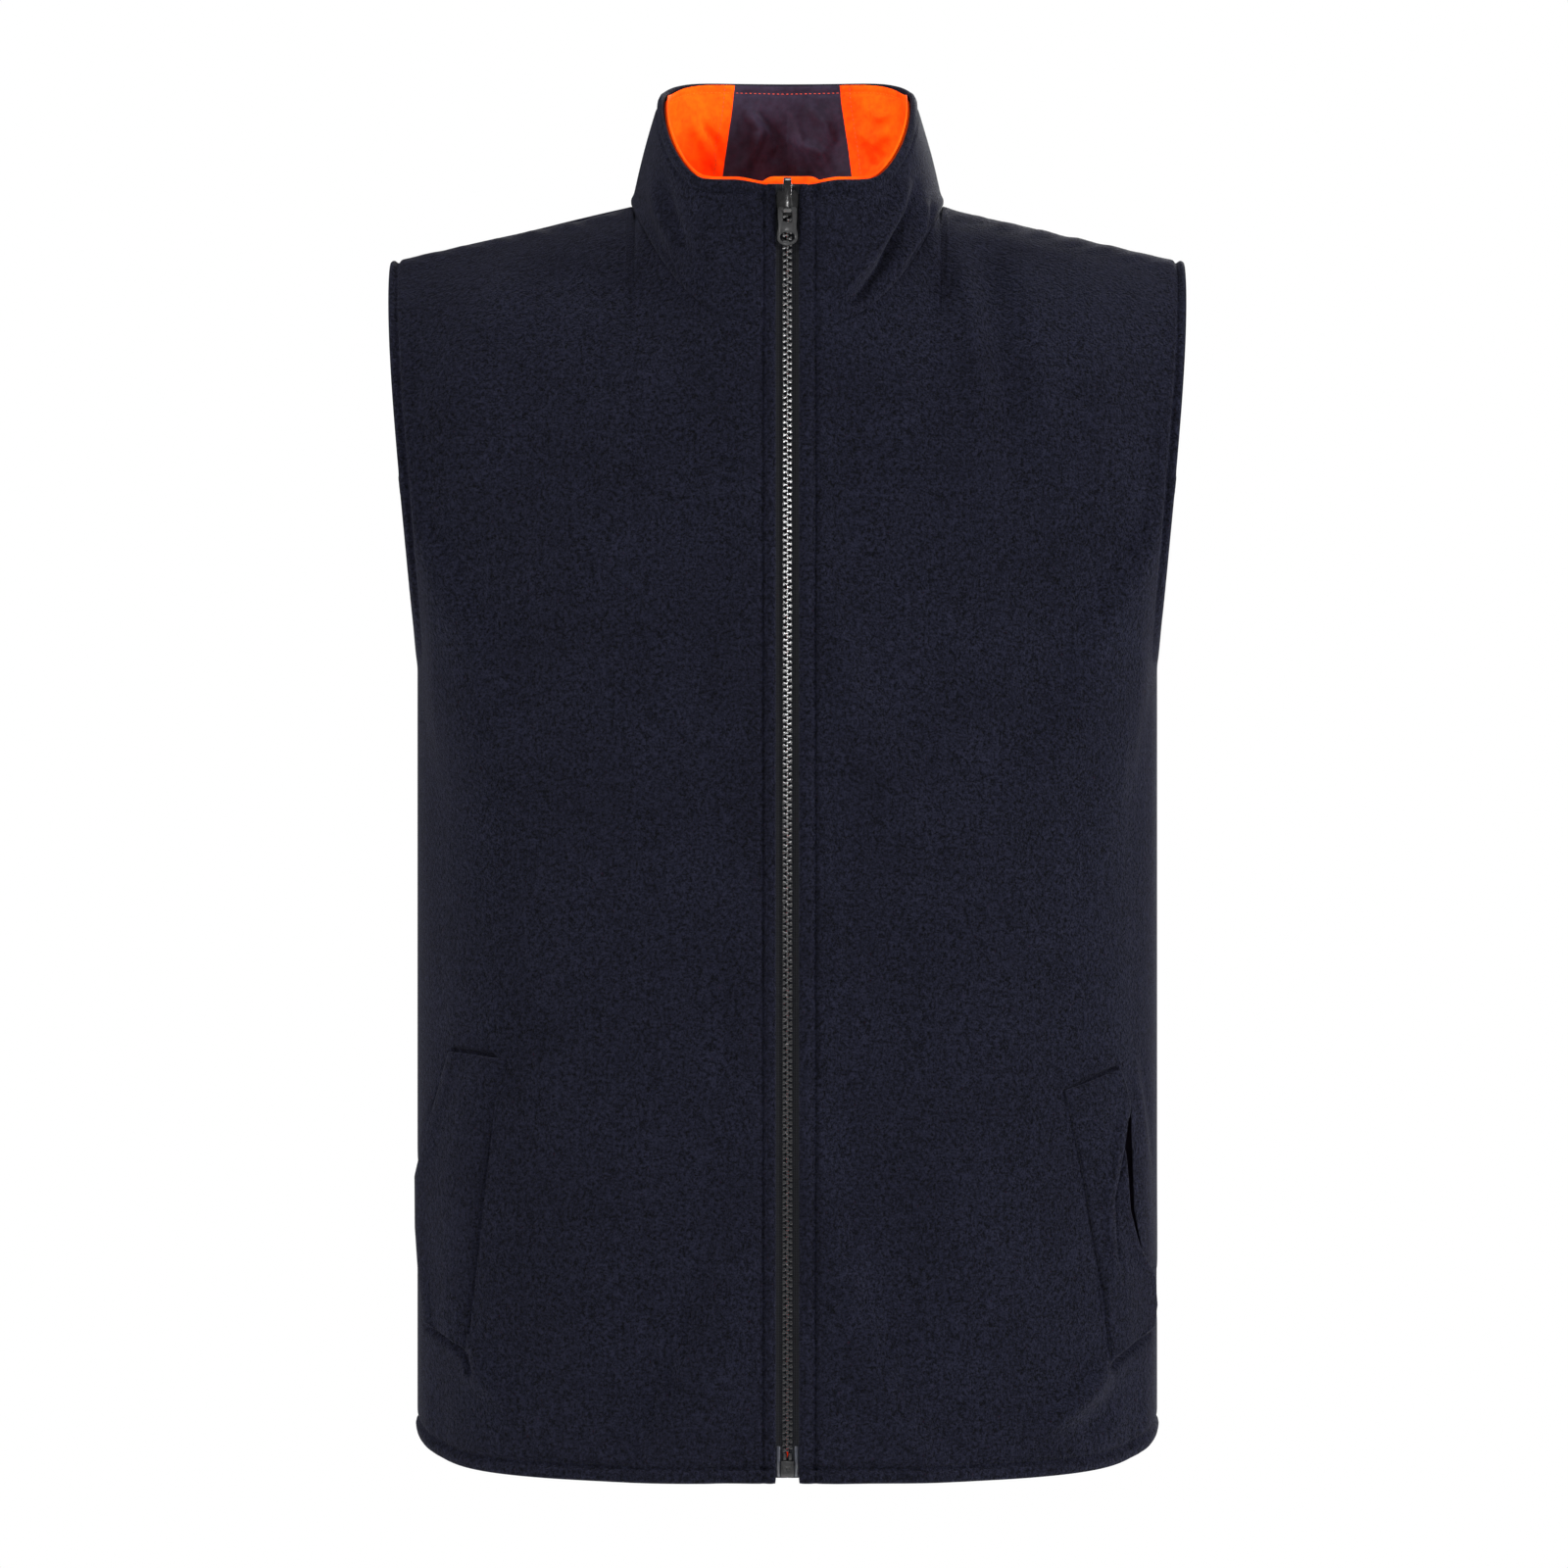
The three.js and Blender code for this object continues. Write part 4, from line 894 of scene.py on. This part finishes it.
def folds(x, z, face, side):
    """Folds shared by every layer of one side of the torso."""
    if face > 0:
        relief = waves(x, z, 5, 210, 1.6) + waves(x, z, 6, 80, 0.4) + FOLDS["back"].at(x, z)
        relief = add_folds(relief, np.abs(x), z, BACK_SHOULDER_FOLDS)
        relief = add_folds(relief, x, z, BACK_WAIST_FOLDS)
        return relief * smooth((edge_x(z) - np.abs(x)) / (22 * MM))
    across = np.abs(x)
    relief = waves(across * side, z, 11 + side, 190, 1.1) + waves(across * side, z, 31 + side, 70, 0.3)
    relief += FOLDS[f"front_{WORD[side]}"].at(x, z)
    relief = add_folds(relief, across, z, FRONT_FOLDS[side])
    fade = smooth((across - EDGE_X - 4 * MM) / (26 * MM)) * smooth((edge_x(z) - across) / (16 * MM))
    return relief * fade


def seams(x, z, side, face):
    """Grooves of the topstitching and the roll of cloth between each and its edge."""
    across = np.abs(x)
    above_hem = z - hem_z(across)
    relief = groove(above_hem - HEM_SEAM, 1.5, 1.9)
    relief += 0.9 * MM * bell(above_hem - HEM_SEAM * 0.42, 3.2 * MM)
    from_arm = edge_x(z) - across
    on_armhole = smooth((z - UNDERARM_Z) / (12 * MM))
    arm_roll = 0.5 * MM * bell(from_arm - 1.4 * MM, 1.6 * MM)
    relief += (groove(from_arm - ARM_SEAM, 1.4, 1.7) + arm_roll) * on_armhole
    if face < 0:
        from_zip = across - EDGE_X - front_seam(side)
        relief += groove(from_zip, 1.5, 1.7)
        relief += 0.6 * MM * bell(across - EDGE_X - front_seam(side) / 2, 2.6 * MM)
    return relief


# Outlines of the pockets in millimetres: heights and distances from the middle of the free and the
# sewn edge of each welt, then the lines (distance, height) where the front dips beside it.
WELT_FREE = {
    -1: [
        (-486, 191.7), (-500, 196), (-530, 204), (-557, 209.2),
        (-586, 209), (-612, 207.4), (-639, 205), (-654, 184),
    ],
    1: [
        (-496, 188.5), (-500, 189.6), (-514, 192.6), (-538, 191.2), (-575, 193.8), (-597, 200.2),
        (-615, 205.4), (-630, 207), (-642, 206.4), (-652, 197.8), (-661.5, 185),
    ],
}
SEWN = {
    -1: [(-490, 158.5), (-516, 166), (-557, 172), (-599, 176.6), (-654, 183.4), (-667, 181)],
    1: [(-508, 156.5), (-557, 167.7), (-590, 173.8), (-620, 180), (-661.5, 184.4)],
}
WELT_EDGES = {
    -1: [
        [(166, -488), (180, -485.5), (193, -484)],
        [(193.5, -486), (205.5, -528), (211, -555)],
        [(207, -642), (196, -649), (184, -656.5), (181, -668)],
    ],
    1: [
        [(157, -508.5), (173, -501), (189, -494)],
        [(208, -646), (198.5, -654.5), (185.5, -664.5)],
        [(210, -610), (209.5, -640)],
    ],
}


def crevice(x, z, line, width, depth):
    """A narrow dip along a bent line."""
    distance, along = line_distance(x, z, [(px * MM, pz * MM) for px, pz in line])
    return -depth * MM * bell(distance, width * MM) * smooth(np.minimum(along, 1 - along) / 0.06 + 0.35)


def along_line(line, z):
    heights = np.array([p[0] for p in line])[::-1] * MM
    places = np.array([p[1] for p in line])[::-1] * MM
    return np.interp(z, heights, places)


def pocket_outline(side):
    """The slit in a front under its welt, in the XZ plane."""
    if side < 0:
        points = [(164, -503), (180, -645), (200, -634), (203, -560), (197, -520), (189, -500)]
    else:
        points = [
            (162, -512), (183, -652), (202, -643), (205.4, -628), (202, -600),
            (197.2, -575), (196, -545), (195, -515), (188, -503),
        ]
    return [(side * x * MM, z * MM) for x, z in points]


def cut_opening(obj, outline):
    count = len(outline)
    near, far = FRONT_Y - 0.03, CENTRE_Y - 4 * MM
    vertices = [(x, near, z) for x, z in outline] + [(x, far, z) for x, z in outline]
    faces = [tuple(range(count)), tuple(range(2 * count - 1, count - 1, -1))]
    faces += [(k, k + count, (k + 1) % count + count, (k + 1) % count) for k in range(count)]
    cutter = new_object("cutter", vertices, faces, False)
    outward_faces(cutter)
    modifier = obj.modifiers.new("cut", "BOOLEAN")
    modifier.operation = "DIFFERENCE"
    modifier.object = cutter
    modifier.solver = "EXACT"
    apply_modifiers(obj)
    bpy.data.objects.remove(cutter)


def make_front(side):
    word = WORD[side]
    grid = torso_grid(-1, CLOTH_EDGE_X, count_of(180), count_of(440)) * np.array([side, 1, 1])
    normals = torso_normals(grid, -1)
    x, z = grid[..., 0], grid[..., 2]
    relief = folds(x, z, -1, side) + seams(x, z, side, -1)
    relief = add_folds(relief, np.abs(x), z, SLIT_FOLDS[side])
    for line in WELT_EDGES[side]:
        relief += crevice(np.abs(x), z, line, 1.8, 3.6)
    shape = grid + normals * relief[..., None]
    slit = pocket_outline(side)
    cloth_piece(f"fleece_front_{word}", shape, normals, FLEECE, NAVY_FLEECE, opening=slit)
    return shape, normals


fronts = {side: make_front(side) for side in (-1, 1)}

back_grid = both_sides(torso_grid(1, 0.0, count_of(110), count_of(240)))
back_normals = torso_normals(back_grid, 1)
back_x, back_z = back_grid[..., 0], back_grid[..., 2]
back_relief = folds(back_x, back_z, 1, 1) + seams(back_x, back_z, 1, 1)
back_shape = back_grid + back_normals * back_relief[..., None]
cloth_piece("fleece_back", back_shape, back_normals, FLEECE, NAVY_FLEECE)

# ------------------------------------------------------------------ fleece collar
COLLAR_SEAM = 6.6 * MM


def collar_folds(x, z, v, front):
    """Folds that the collar's fleece and lining share."""
    bends = add_folds(0.0, x, z, COLLAR_FOLDS)
    relief = np.where(front, bends, 0) + waves(x, z, 44, 55, 0.6) * np.sin(math.pi * v)
    return relief * smooth(v / 0.08) * smooth((1 - v) / 0.12)


def dip_at_zip(grid):
    """The collar's top edge dips a little towards the zip."""
    rise = np.linspace(0, 1, grid.shape[0])[:, None] ** 4
    near = (1 - smooth((np.abs(grid[..., 0]) - 9 * MM) / (22 * MM))) * (grid[..., 1] < -0.02)
    lowered = grid.copy()
    lowered[..., 2] -= 3 * MM * rise * near
    return lowered


collar_grid = dip_at_zip(collar_full(count_of(210), count_of(64), -0.6 * MM, 0.0))
collar_out = collar_normals(collar_grid)
collar_x, collar_z = collar_grid[..., 0], collar_grid[..., 2]
collar_front = collar_grid[..., 1] < 0.0
collar_v = np.linspace(0, 1, collar_grid.shape[0])[:, None]
collar_height = np.linalg.norm(collar_grid[-1] - collar_grid[0], axis=-1)[None]
near_zip = smooth((np.abs(collar_x) - EDGE_X) / (14 * MM))
collar_relief = collar_folds(collar_x, collar_z, collar_v, collar_front) * near_zip
below_top = (1 - collar_v) * collar_height
top_roll = 0.6 * MM * bell(below_top - 3 * MM, 2.4 * MM)
collar_relief += (groove(below_top - COLLAR_SEAM, 1.3, 1.0) + top_roll) * near_zip
above_neck = collar_v * collar_height
neck_roll = 0.9 * MM * bell(above_neck - 4.5 * MM, 2.6 * MM)
collar_relief += neck_roll * smooth((np.abs(collar_x) - 20 * MM) / (16 * MM))
neck_dip = 0.9 * MM * (1 - smooth(above_neck / (2.2 * MM)))
collar_relief -= neck_dip * smooth((np.abs(collar_x) - 12 * MM) / (16 * MM))
for collar_side in (-1, 1):
    on_side = collar_front & (np.sign(collar_x) == collar_side)
    from_seam = np.abs(collar_x) - EDGE_X - front_seam(collar_side)
    collar_relief += np.where(on_side, groove(from_seam, 1.4, 1.4), 0)
collar_shape = collar_grid + collar_out * collar_relief[..., None]
cloth_piece("fleece_collar", collar_shape, collar_out, FLEECE, NAVY_FLEECE)

# ------------------------------------------------------------------ collar lining
JOIN_LOW, JOIN_HIGH = 0.842, 0.882
LINING_BAND = 4.2 * MM
SEAM_FROM_JOIN = 6.5 * MM


def sloped_lining(count, mirror):
    """One lining piece of the collar; the joins lean in towards the top."""
    v = np.linspace(0, 1, count_of(56))
    fine = collar_half(np.linspace(0, 1, 500), len(v), 1.2 * MM, 0.0)
    top_lift = 3.1 * MM * (1 - smooth((fine[-1, :, 1] + 0.03) / 0.06)) - 0.6 * MM
    fine = fine + (unit(fine[-1] - fine[0]) * top_lift[:, None])[None] * (v[:, None, None] ** 4)
    rows = []
    for j, height in enumerate(v):
        join = mix(JOIN_LOW, JOIN_HIGH, height)
        low, high = (join + 0.0008, 1.0) if mirror == 0 else (0.0, join)
        wanted, known = np.linspace(low, high, count), np.linspace(0, 1, 500)
        rows.append(np.stack([np.interp(wanted, known, fine[j, :, k]) for k in range(3)], axis=1))
    grid = np.array(rows)
    if mirror == 0:
        right = grid * np.array([-1, 1, 1])
        return np.concatenate([right, grid[:, :-1][:, ::-1]], axis=1)
    return grid * np.array([mirror, 1, 1])


def creases(grid, strength, seed):
    x, z = grid[..., 0], grid[..., 2]
    return add_folds(0.0, x, z, LINING_CREASES) * strength + waves(x, z, seed, 30, 0.45)


def lining_piece(word, count, look, mirror, seed):
    grid = dip_at_zip(sloped_lining(count_of(count), mirror))
    normals = collar_normals(grid)
    v = np.linspace(0, 1, grid.shape[0])[:, None]
    x, z = grid[..., 0], grid[..., 2]
    front = grid[..., 1] < 0.0
    coarse_rows, coarse_columns = 22, max(16, count // 3)
    pick = np.ix_(
        np.linspace(0, grid.shape[0] - 1, coarse_rows).astype(int),
        np.linspace(0, grid.shape[1] - 1, coarse_columns).astype(int),
    )
    coarse, coarse_normals = grid[pick], normals[pick]
    held = np.zeros(coarse.shape[:2])
    held[0] = held[-1] = held[-2] = 1
    held[:, 0] = held[:, -1] = 1
    moved = simulate(coarse, coarse_normals, held, 30, 0.035, 4.0, 0.02, 2.6 * MM)
    u = np.linspace(0, 1, grid.shape[1])[None, :]
    sag = read_field(moved, v + 0 * u, u + 0 * v)
    relief = sag + creases(grid, 1.5 if mirror == 0 else 1.9, seed) + 0.9 * MM
    height = np.linalg.norm(grid[-1] - grid[0], axis=-1)[None]
    below_top = (1 - v) * height
    relief *= smooth(below_top / (9 * MM)) * smooth(v / 0.1) * np.where(front, 0.35, 1.0)
    shared = collar_folds(x, z, v, front) * smooth((np.abs(x) - EDGE_X) / (14 * MM))
    band = groove(below_top - LINING_BAND, 0.8, 0.7) + 0.35 * MM * bell(below_top - 2 * MM, 1.8 * MM)
    inward = SHELL_DEPTH + np.clip(relief, -1.2 * MM, 5 * MM) - shared + band
    inward = inward * mix(1.0, 0.86, smooth((v - 0.8) / 0.2))
    shape = grid - normals * inward[..., None]
    cloth_piece(f"collar_lining_{word}", shape, normals, SHELL, look)
    inner = shape - normals * SHELL
    row = int(np.argmin(np.abs((1 - v[:, 0]) * 0.085 - LINING_BAND)))
    thread = RED_THREAD if mirror == 0 else ORANGE_THREAD
    stitches(f"lining_top_stitches_{word}", inner[row, 1:-1], -normals[row, 1:-1], thread, 2.6, 2.0, 0.5)
    if mirror != 0:
        spots = []
        for j in range(4, grid.shape[0] - 1):
            gap = np.linalg.norm(grid[j] - grid[j, -1], axis=-1)
            spots.append(int(np.argmin(np.abs(gap - SEAM_FROM_JOIN))))
        rows_used = np.arange(4, grid.shape[0] - 1)
        line, up = inner[rows_used, spots], -normals[rows_used, spots]
        stitches(f"lining_seam_stitches_{word}", line, up, RED_THREAD, 2.6, 1.9, 0.42)


lining_piece("left", 120, ORANGE_SHELL, 1, 61)
lining_piece("right", 120, ORANGE_SHELL, -1, 62)
lining_piece("centre", 60, NAVY_LINING, 0, 63)

# ------------------------------------------------------------------ orange shell
BAG_INNER_X = HALF_WIDTH - 153 * MM
BAG_TOP_Z = -470 * MM
BAG_BOTTOM_Z = -697 * MM
POCKET_DEPTH = 13 * MM


def pocket_bump(x, z, margin):
    x = np.abs(x)
    in_x = smooth((x - BAG_INNER_X + margin) / (26 * MM))
    out_x = smooth((HALF_WIDTH - 2.4 * MM + margin * 0.2 - x) / (4 * MM))
    in_z = smooth((z - BAG_BOTTOM_Z + margin) / (26 * MM))
    out_z = smooth((BAG_TOP_Z + margin - z) / (26 * MM))
    return in_x * out_x * in_z * out_z


def make_shell(word, face, side):
    """One orange panel inside the fleece; it reaches the side seams and stands clear of the armhole."""
    inset = 1.5 * MM
    start = CLOTH_EDGE_X + 0.5 * MM if face < 0 else 0.0
    grid = torso_grid(face, start, count_of(90), count_of(190), inset)
    grid = both_sides(grid) if face > 0 else grid * np.array([side, 1, 1])
    normals = torso_normals(grid, face)
    x, z = grid[..., 0], grid[..., 2]
    depth = SHELL_DEPTH + 15.5 * MM * pocket_bump(x, z, 10 * MM) * (face < 0)
    puckers = waves(x, z, 90 + side, 60, 1.2) + waves(x, z, 95 + side, 24, 0.35)
    free = smooth((np.abs(x) - start) / (20 * MM)) * smooth((edge_x(z) - np.abs(x)) / (12 * MM))
    depth = depth - folds(x, z, face, side) + np.abs(puckers) * free
    shape = grid - normals * depth[..., None]
    cloth_piece(f"shell_{word}", shape, normals, SHELL, ORANGE_SHELL)


make_shell("front_left", -1, 1)
make_shell("front_right", -1, -1)
make_shell("back", 1, 1)


# ------------------------------------------------------------------ pockets
def welt(side):
    """The fleece flap over a pocket's slit, sewn down on its inner edge."""
    word = WORD[side]
    free_line, sewn_line = WELT_FREE[side], SEWN[side]
    rows, columns = count_of(150), count_of(64)
    sewn_top = sewn_line[0][0] * MM
    free_top = free_line[0][0] * MM
    v = np.linspace(0, 1, rows)
    sewn_low = free_line[-1][0] * MM + 1.0 * MM
    free_low = -640 * MM if side < 0 else -645 * MM
    grid = np.zeros((rows, columns, 3))
    for j, share in enumerate(v):
        z0 = mix(sewn_low, sewn_top, share)
        z1 = mix(free_low, free_top, share)
        x0 = along_line(sewn_line, z0) - 0.6 * MM
        x1 = along_line(free_line, z1)
        t = np.linspace(0, 1, 200)
        z = mix(z0, z1, t)
        x = mix(x0, x1, t)
        line = np.stack([x, torso_y(x, z, -1), z], axis=1)
        grid[j] = resample(line, columns)
    grid = grid * np.array([side, 1, 1])
    normals = torso_normals(grid, -1)
    across = np.linspace(0, 1, columns)[None, :]
    up = v[:, None]
    x, z = np.abs(grid[..., 0]), grid[..., 2]
    lift = 1.5 + 1.9 * smooth(across / 0.5) + 0.9 * smooth((across - 0.75) / 0.25) + 0 * up
    if side > 0:
        gape = np.sin(math.pi * np.clip(mix(0.02, 1.0, up), 0, 1)) ** 0.8
        lift = lift + 3.4 * across**1.5 * gape
        edge_heights = np.array([-612, -590, -568, -548, -530, -514]) * MM
        edge_places = np.array([189, 186.4, 185, 188.2, 190.8, 192.6]) * MM
        upper_edge = np.interp(z, edge_heights, edge_places)
        strength = smooth((z + 612 * MM) / (18 * MM)) * smooth((-516 * MM - z) / (16 * MM))
        lift = lift - 3.2 * smooth((x - upper_edge + 0.9 * MM) / (1.8 * MM)) * strength
        lift += 1.3 * bell(x - upper_edge + 3.2 * MM, 2.6 * MM) * strength
        lift -= 1.3 * bell(x - upper_edge - 1.3 * MM, 1.1 * MM) * strength
        lift += ridge(x, z, [(176, -640), (182, -620), (184, -600)], 6, 1.2) / MM
    else:
        lift = lift * mix(0.45, 1.0, smooth(across / 0.25))
        lift += 0.8 * bell((across - 0.9) * 10, 1.0)
    lift -= 2.2 * bell(across - 0.02, 0.045)
    relief = folds(grid[..., 0], z, -1, side) + lift * MM
    shape = grid + normals * relief[..., None]
    cloth_piece(f"pocket_welt_{word}", shape, normals, FLEECE, NAVY_FLEECE, roll=0.9)
    column = int(columns * 0.07)
    stitches(f"welt_stitches_{word}", shape[2:-2, column], normals[2:-2, column], NAVY_THREAD, 3.0, 2.2, 0.42)


welt(-1)
welt(1)


def pocket_bag(side):
    word = WORD[side]
    x = np.linspace(BAG_INNER_X, HALF_WIDTH - 2.4 * MM, count_of(70))[None, :]
    z = np.linspace(BAG_BOTTOM_Z, BAG_TOP_Z, count_of(80))[:, None]
    grid = np.stack([x + 0 * z, torso_y(x, z, -1), z + 0 * x], axis=-1) * np.array([side, 1, 1])
    normals = torso_normals(grid, -1)
    depth = FLEECE + 0.8 * MM + POCKET_DEPTH * pocket_bump(grid[..., 0], grid[..., 2], 0)
    depth = depth - folds(grid[..., 0], grid[..., 2], -1, side)
    shape = grid - normals * depth[..., None]
    cloth_piece(f"pocket_bag_{word}", shape, normals, POCKETING, NAVY_LINING)


pocket_bag(-1)
pocket_bag(1)


# ------------------------------------------------------------------ zip
def bevelled_copy(name, width, segments, material, body):
    """The CAD node's own shape with its edges rounded."""
    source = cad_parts[name]
    obj = bpy.data.objects.new(f"{name}_moulded", source.data.copy())
    bpy.context.scene.collection.objects.link(obj)
    bm = bmesh.new()
    bm.from_mesh(obj.data)
    bmesh.ops.remove_doubles(bm, verts=bm.verts, dist=1e-6)
    bmesh.ops.dissolve_limit(bm, angle_limit=0.02, verts=bm.verts, edges=bm.edges)
    bm.to_mesh(obj.data)
    bm.free()
    add_bevel(obj, width, segments, 0.6)
    apply_modifiers(obj)
    shade_smooth(obj.data)
    finish_piece(obj, material, body, name)


TOOTH_PITCH = 3.5 * MM


def tooth_outline():
    """One tooth seen from the front, pointing to -X: foot on the tape, neck and wide head."""
    half = [
        (2.9, 1.15), (2.0, 1.3), (1.45, 1.05), (0.95, 0.62),
        (0.45, 0.62), (0.15, 0.95), (-0.35, 1.0), (-0.62, 0.6),
    ]
    return half + [(x, -z) for x, z in half[::-1]]


def tooth_rows(side):
    word = WORD[side]
    outline = tooth_outline()
    n = len(outline)
    levels = [(-1.25, 0.8), (-1.05, 0.96), (-0.6, 1.0), (0.6, 1.0), (1.05, 0.96), (1.25, 0.8)]
    centre_x = sum(p[0] for p in outline) / n
    shape, faces = [], []
    for depth, scale in levels:
        for x, z in outline:
            shape.append(((centre_x + (x - centre_x) * mix(1, scale, 0.6)) * side, depth, z * scale))
    for k in range(len(levels) - 1):
        for i in range(n):
            a, b = k * n + i, k * n + (i + 1) % n
            faces.append((a, b, b + n, a + n))
    faces.append(tuple(range(n))[::-1])
    faces.append(tuple((len(levels) - 1) * n + i for i in range(n)))
    shape = np.array(shape) * MM
    count = int((CHAIN_HIGH.z - CHAIN_LOW.z - 2.4 * MM) / TOOTH_PITCH)
    start = CHAIN_LOW.z + 1.4 * MM + (0.5 * TOOTH_PITCH if side > 0 else 0)
    vertices, all_faces = [], []
    for t in range(count):
        z = start + t * TOOTH_PITCH
        if z > CHAIN_HIGH.z - 1.2 * MM:
            break
        moved = shape + np.array([0, ZIP_Y, z])
        base = len(vertices)
        vertices.extend(moved)
        all_faces.extend(tuple(v + base for v in f) for f in faces)
    obj = new_object(f"teeth_{word}", vertices, all_faces, False)
    outward_faces(obj)
    add_bevel(obj, 0.12, 1, 0.7)
    obj.modifiers.new("flat_faces", "WEIGHTED_NORMAL").weight = 100
    shade_smooth(obj.data)
    apply_modifiers(obj)
    shade_smooth(obj.data)
    finish_piece(obj, TEETH, "vest", f"tooth_chain_{word}")


def zip_tape(side):
    word = WORD[side]
    z = np.linspace(TAPE_LOW.z, TAPE_HIGH.z, count_of(300))[:, None]
    inner_edge = mix(0.1, 0.7, smooth((z - CHAIN_LOW.z) / (3 * MM) + 1)) * MM
    x = mix(inner_edge, TAPE_HIGH.x, np.linspace(0, 1, 20)[None, :])
    cord = 0.45 * MM * bell(x - 3.1 * MM, 0.7 * MM)
    ripple = 0.12 * MM * np.sin(z * 2 * math.pi / (7 * MM)) * smooth((x - 3.4 * MM) / (2 * MM))
    y = TAPE_LOW.y - cord + ripple
    grid = np.stack([(x + 0 * z) * side, y + 0 * z, z + 0 * x], axis=-1)
    cloth_piece(f"zip_tape_{word}", grid, facing_front(grid), ZIP_TAPE, (TAPE, "zip_tape"))


for side in (-1, 1):
    tooth_rows(side)
    zip_tape(side)

for piece_name in ("top_stop_left", "top_stop_right"):
    bevelled_copy(piece_name, 0.4, 3, PLASTIC, "vest")
bevelled_copy("box_pin", 0.25, 2, PLASTIC, "vest")
bevelled_copy("insertion_pin", 0.25, 2, PLASTIC, "vest")
bevelled_copy("retainer_box", 0.45, 3, PLASTIC, "vest")
bevelled_copy("tape_end_film_left", 0.08, 1, FILM, "vest")
bevelled_copy("tape_end_film_right", 0.08, 1, FILM, "vest")
bevelled_copy("slider_body", 0.35, 3, GLOSSY, "slider")
bevelled_copy("pull_rail", 0.35, 3, GLOSSY, "slider")
bevelled_copy("pull_tab", 0.4, 3, PULL, "pull")

# ------------------------------------------------------------------ storm flap and hanger loop
FLAP_LOW, FLAP_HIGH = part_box("storm_flap")
flap_up = np.linspace(0, 1, count_of(260))[:, None]
flap_across = np.linspace(0, 1, count_of(26))[None, :]
flap_right = FLAP_LOW.x
flap_hinge = FLAP_HIGH.x - 0.6 * MM
flap_top = FLAP_HIGH.z - 5 * MM * smooth(np.abs(flap_across - 0.5) * 2 - 0.55) / smooth(0.45)
flap_z = mix(FLAP_LOW.z, flap_top, flap_up)
flap_x = mix(flap_right, flap_hinge, flap_across)
flap_y = FLAP_HIGH.y - 1.3 * MM + 0.5 * MM * np.sin(flap_z * 2 * math.pi / 0.09) * (1 - flap_across)
flap_grid = np.stack([flap_x + 0 * flap_z, flap_y, flap_z + 0 * flap_x], axis=-1)
flap_out = facing_front(flap_grid)
cloth_piece("storm_flap", flap_grid, flap_out, 1.2 * MM, ORANGE_SHELL, "storm_flap")

LOOP_LOW, LOOP_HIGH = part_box("hanger_loop")
angle = np.linspace(0, math.pi, count_of(60))
loop_half = (LOOP_HIGH.x - LOOP_LOW.x) / 2
loop_path_x = -np.cos(angle) * (loop_half - 3 * MM)
loop_path_z = LOOP_HIGH.z - np.abs(np.sin(angle)) ** 0.6 * (LOOP_HIGH.z - LOOP_LOW.z - 3 * MM)
path = np.stack([loop_path_x, loop_path_x * 0, loop_path_z], axis=1)
forward = unit(np.gradient(path, axis=0))
side_way = unit(np.cross(forward, np.array([0, 1.0, 0])))
width_steps = np.linspace(-3, 3, 9)[:, None, None] * MM
loop_grid = path[None] + side_way[None] * width_steps
loop_grid[..., 1] = LOOP_LOW.y + 0.1 * MM * np.cos(width_steps[..., 0] / MM)
loop_out = facing_front(loop_grid)
cloth_piece("hanger_loop", loop_grid, loop_out, 1.1 * MM, ORANGE_SHELL, "hanger_loop")


# ------------------------------------------------------------------ stitching
def grid_line(shape, normals, rows, columns):
    return shape[rows, columns], normals[rows, columns]


for side, (shape, normals) in fronts.items():
    word = WORD[side]
    x = np.abs(shape[..., 0])
    column = [int(np.argmin(np.abs(x[j] - EDGE_X - front_seam(side)))) for j in range(shape.shape[0])]
    rows = np.arange(shape.shape[0])
    stitches(f"front_edge_stitches_{word}", *grid_line(shape, normals, rows, column), NAVY_THREAD)
    row = int(np.argmin(np.abs(shape[:, 5, 2] - HEM_Z - HEM_SEAM)))
    columns = np.arange(3, shape.shape[1] - 1)
    stitches(f"hem_stitches_{word}", *grid_line(shape, normals, row, columns), NAVY_THREAD)
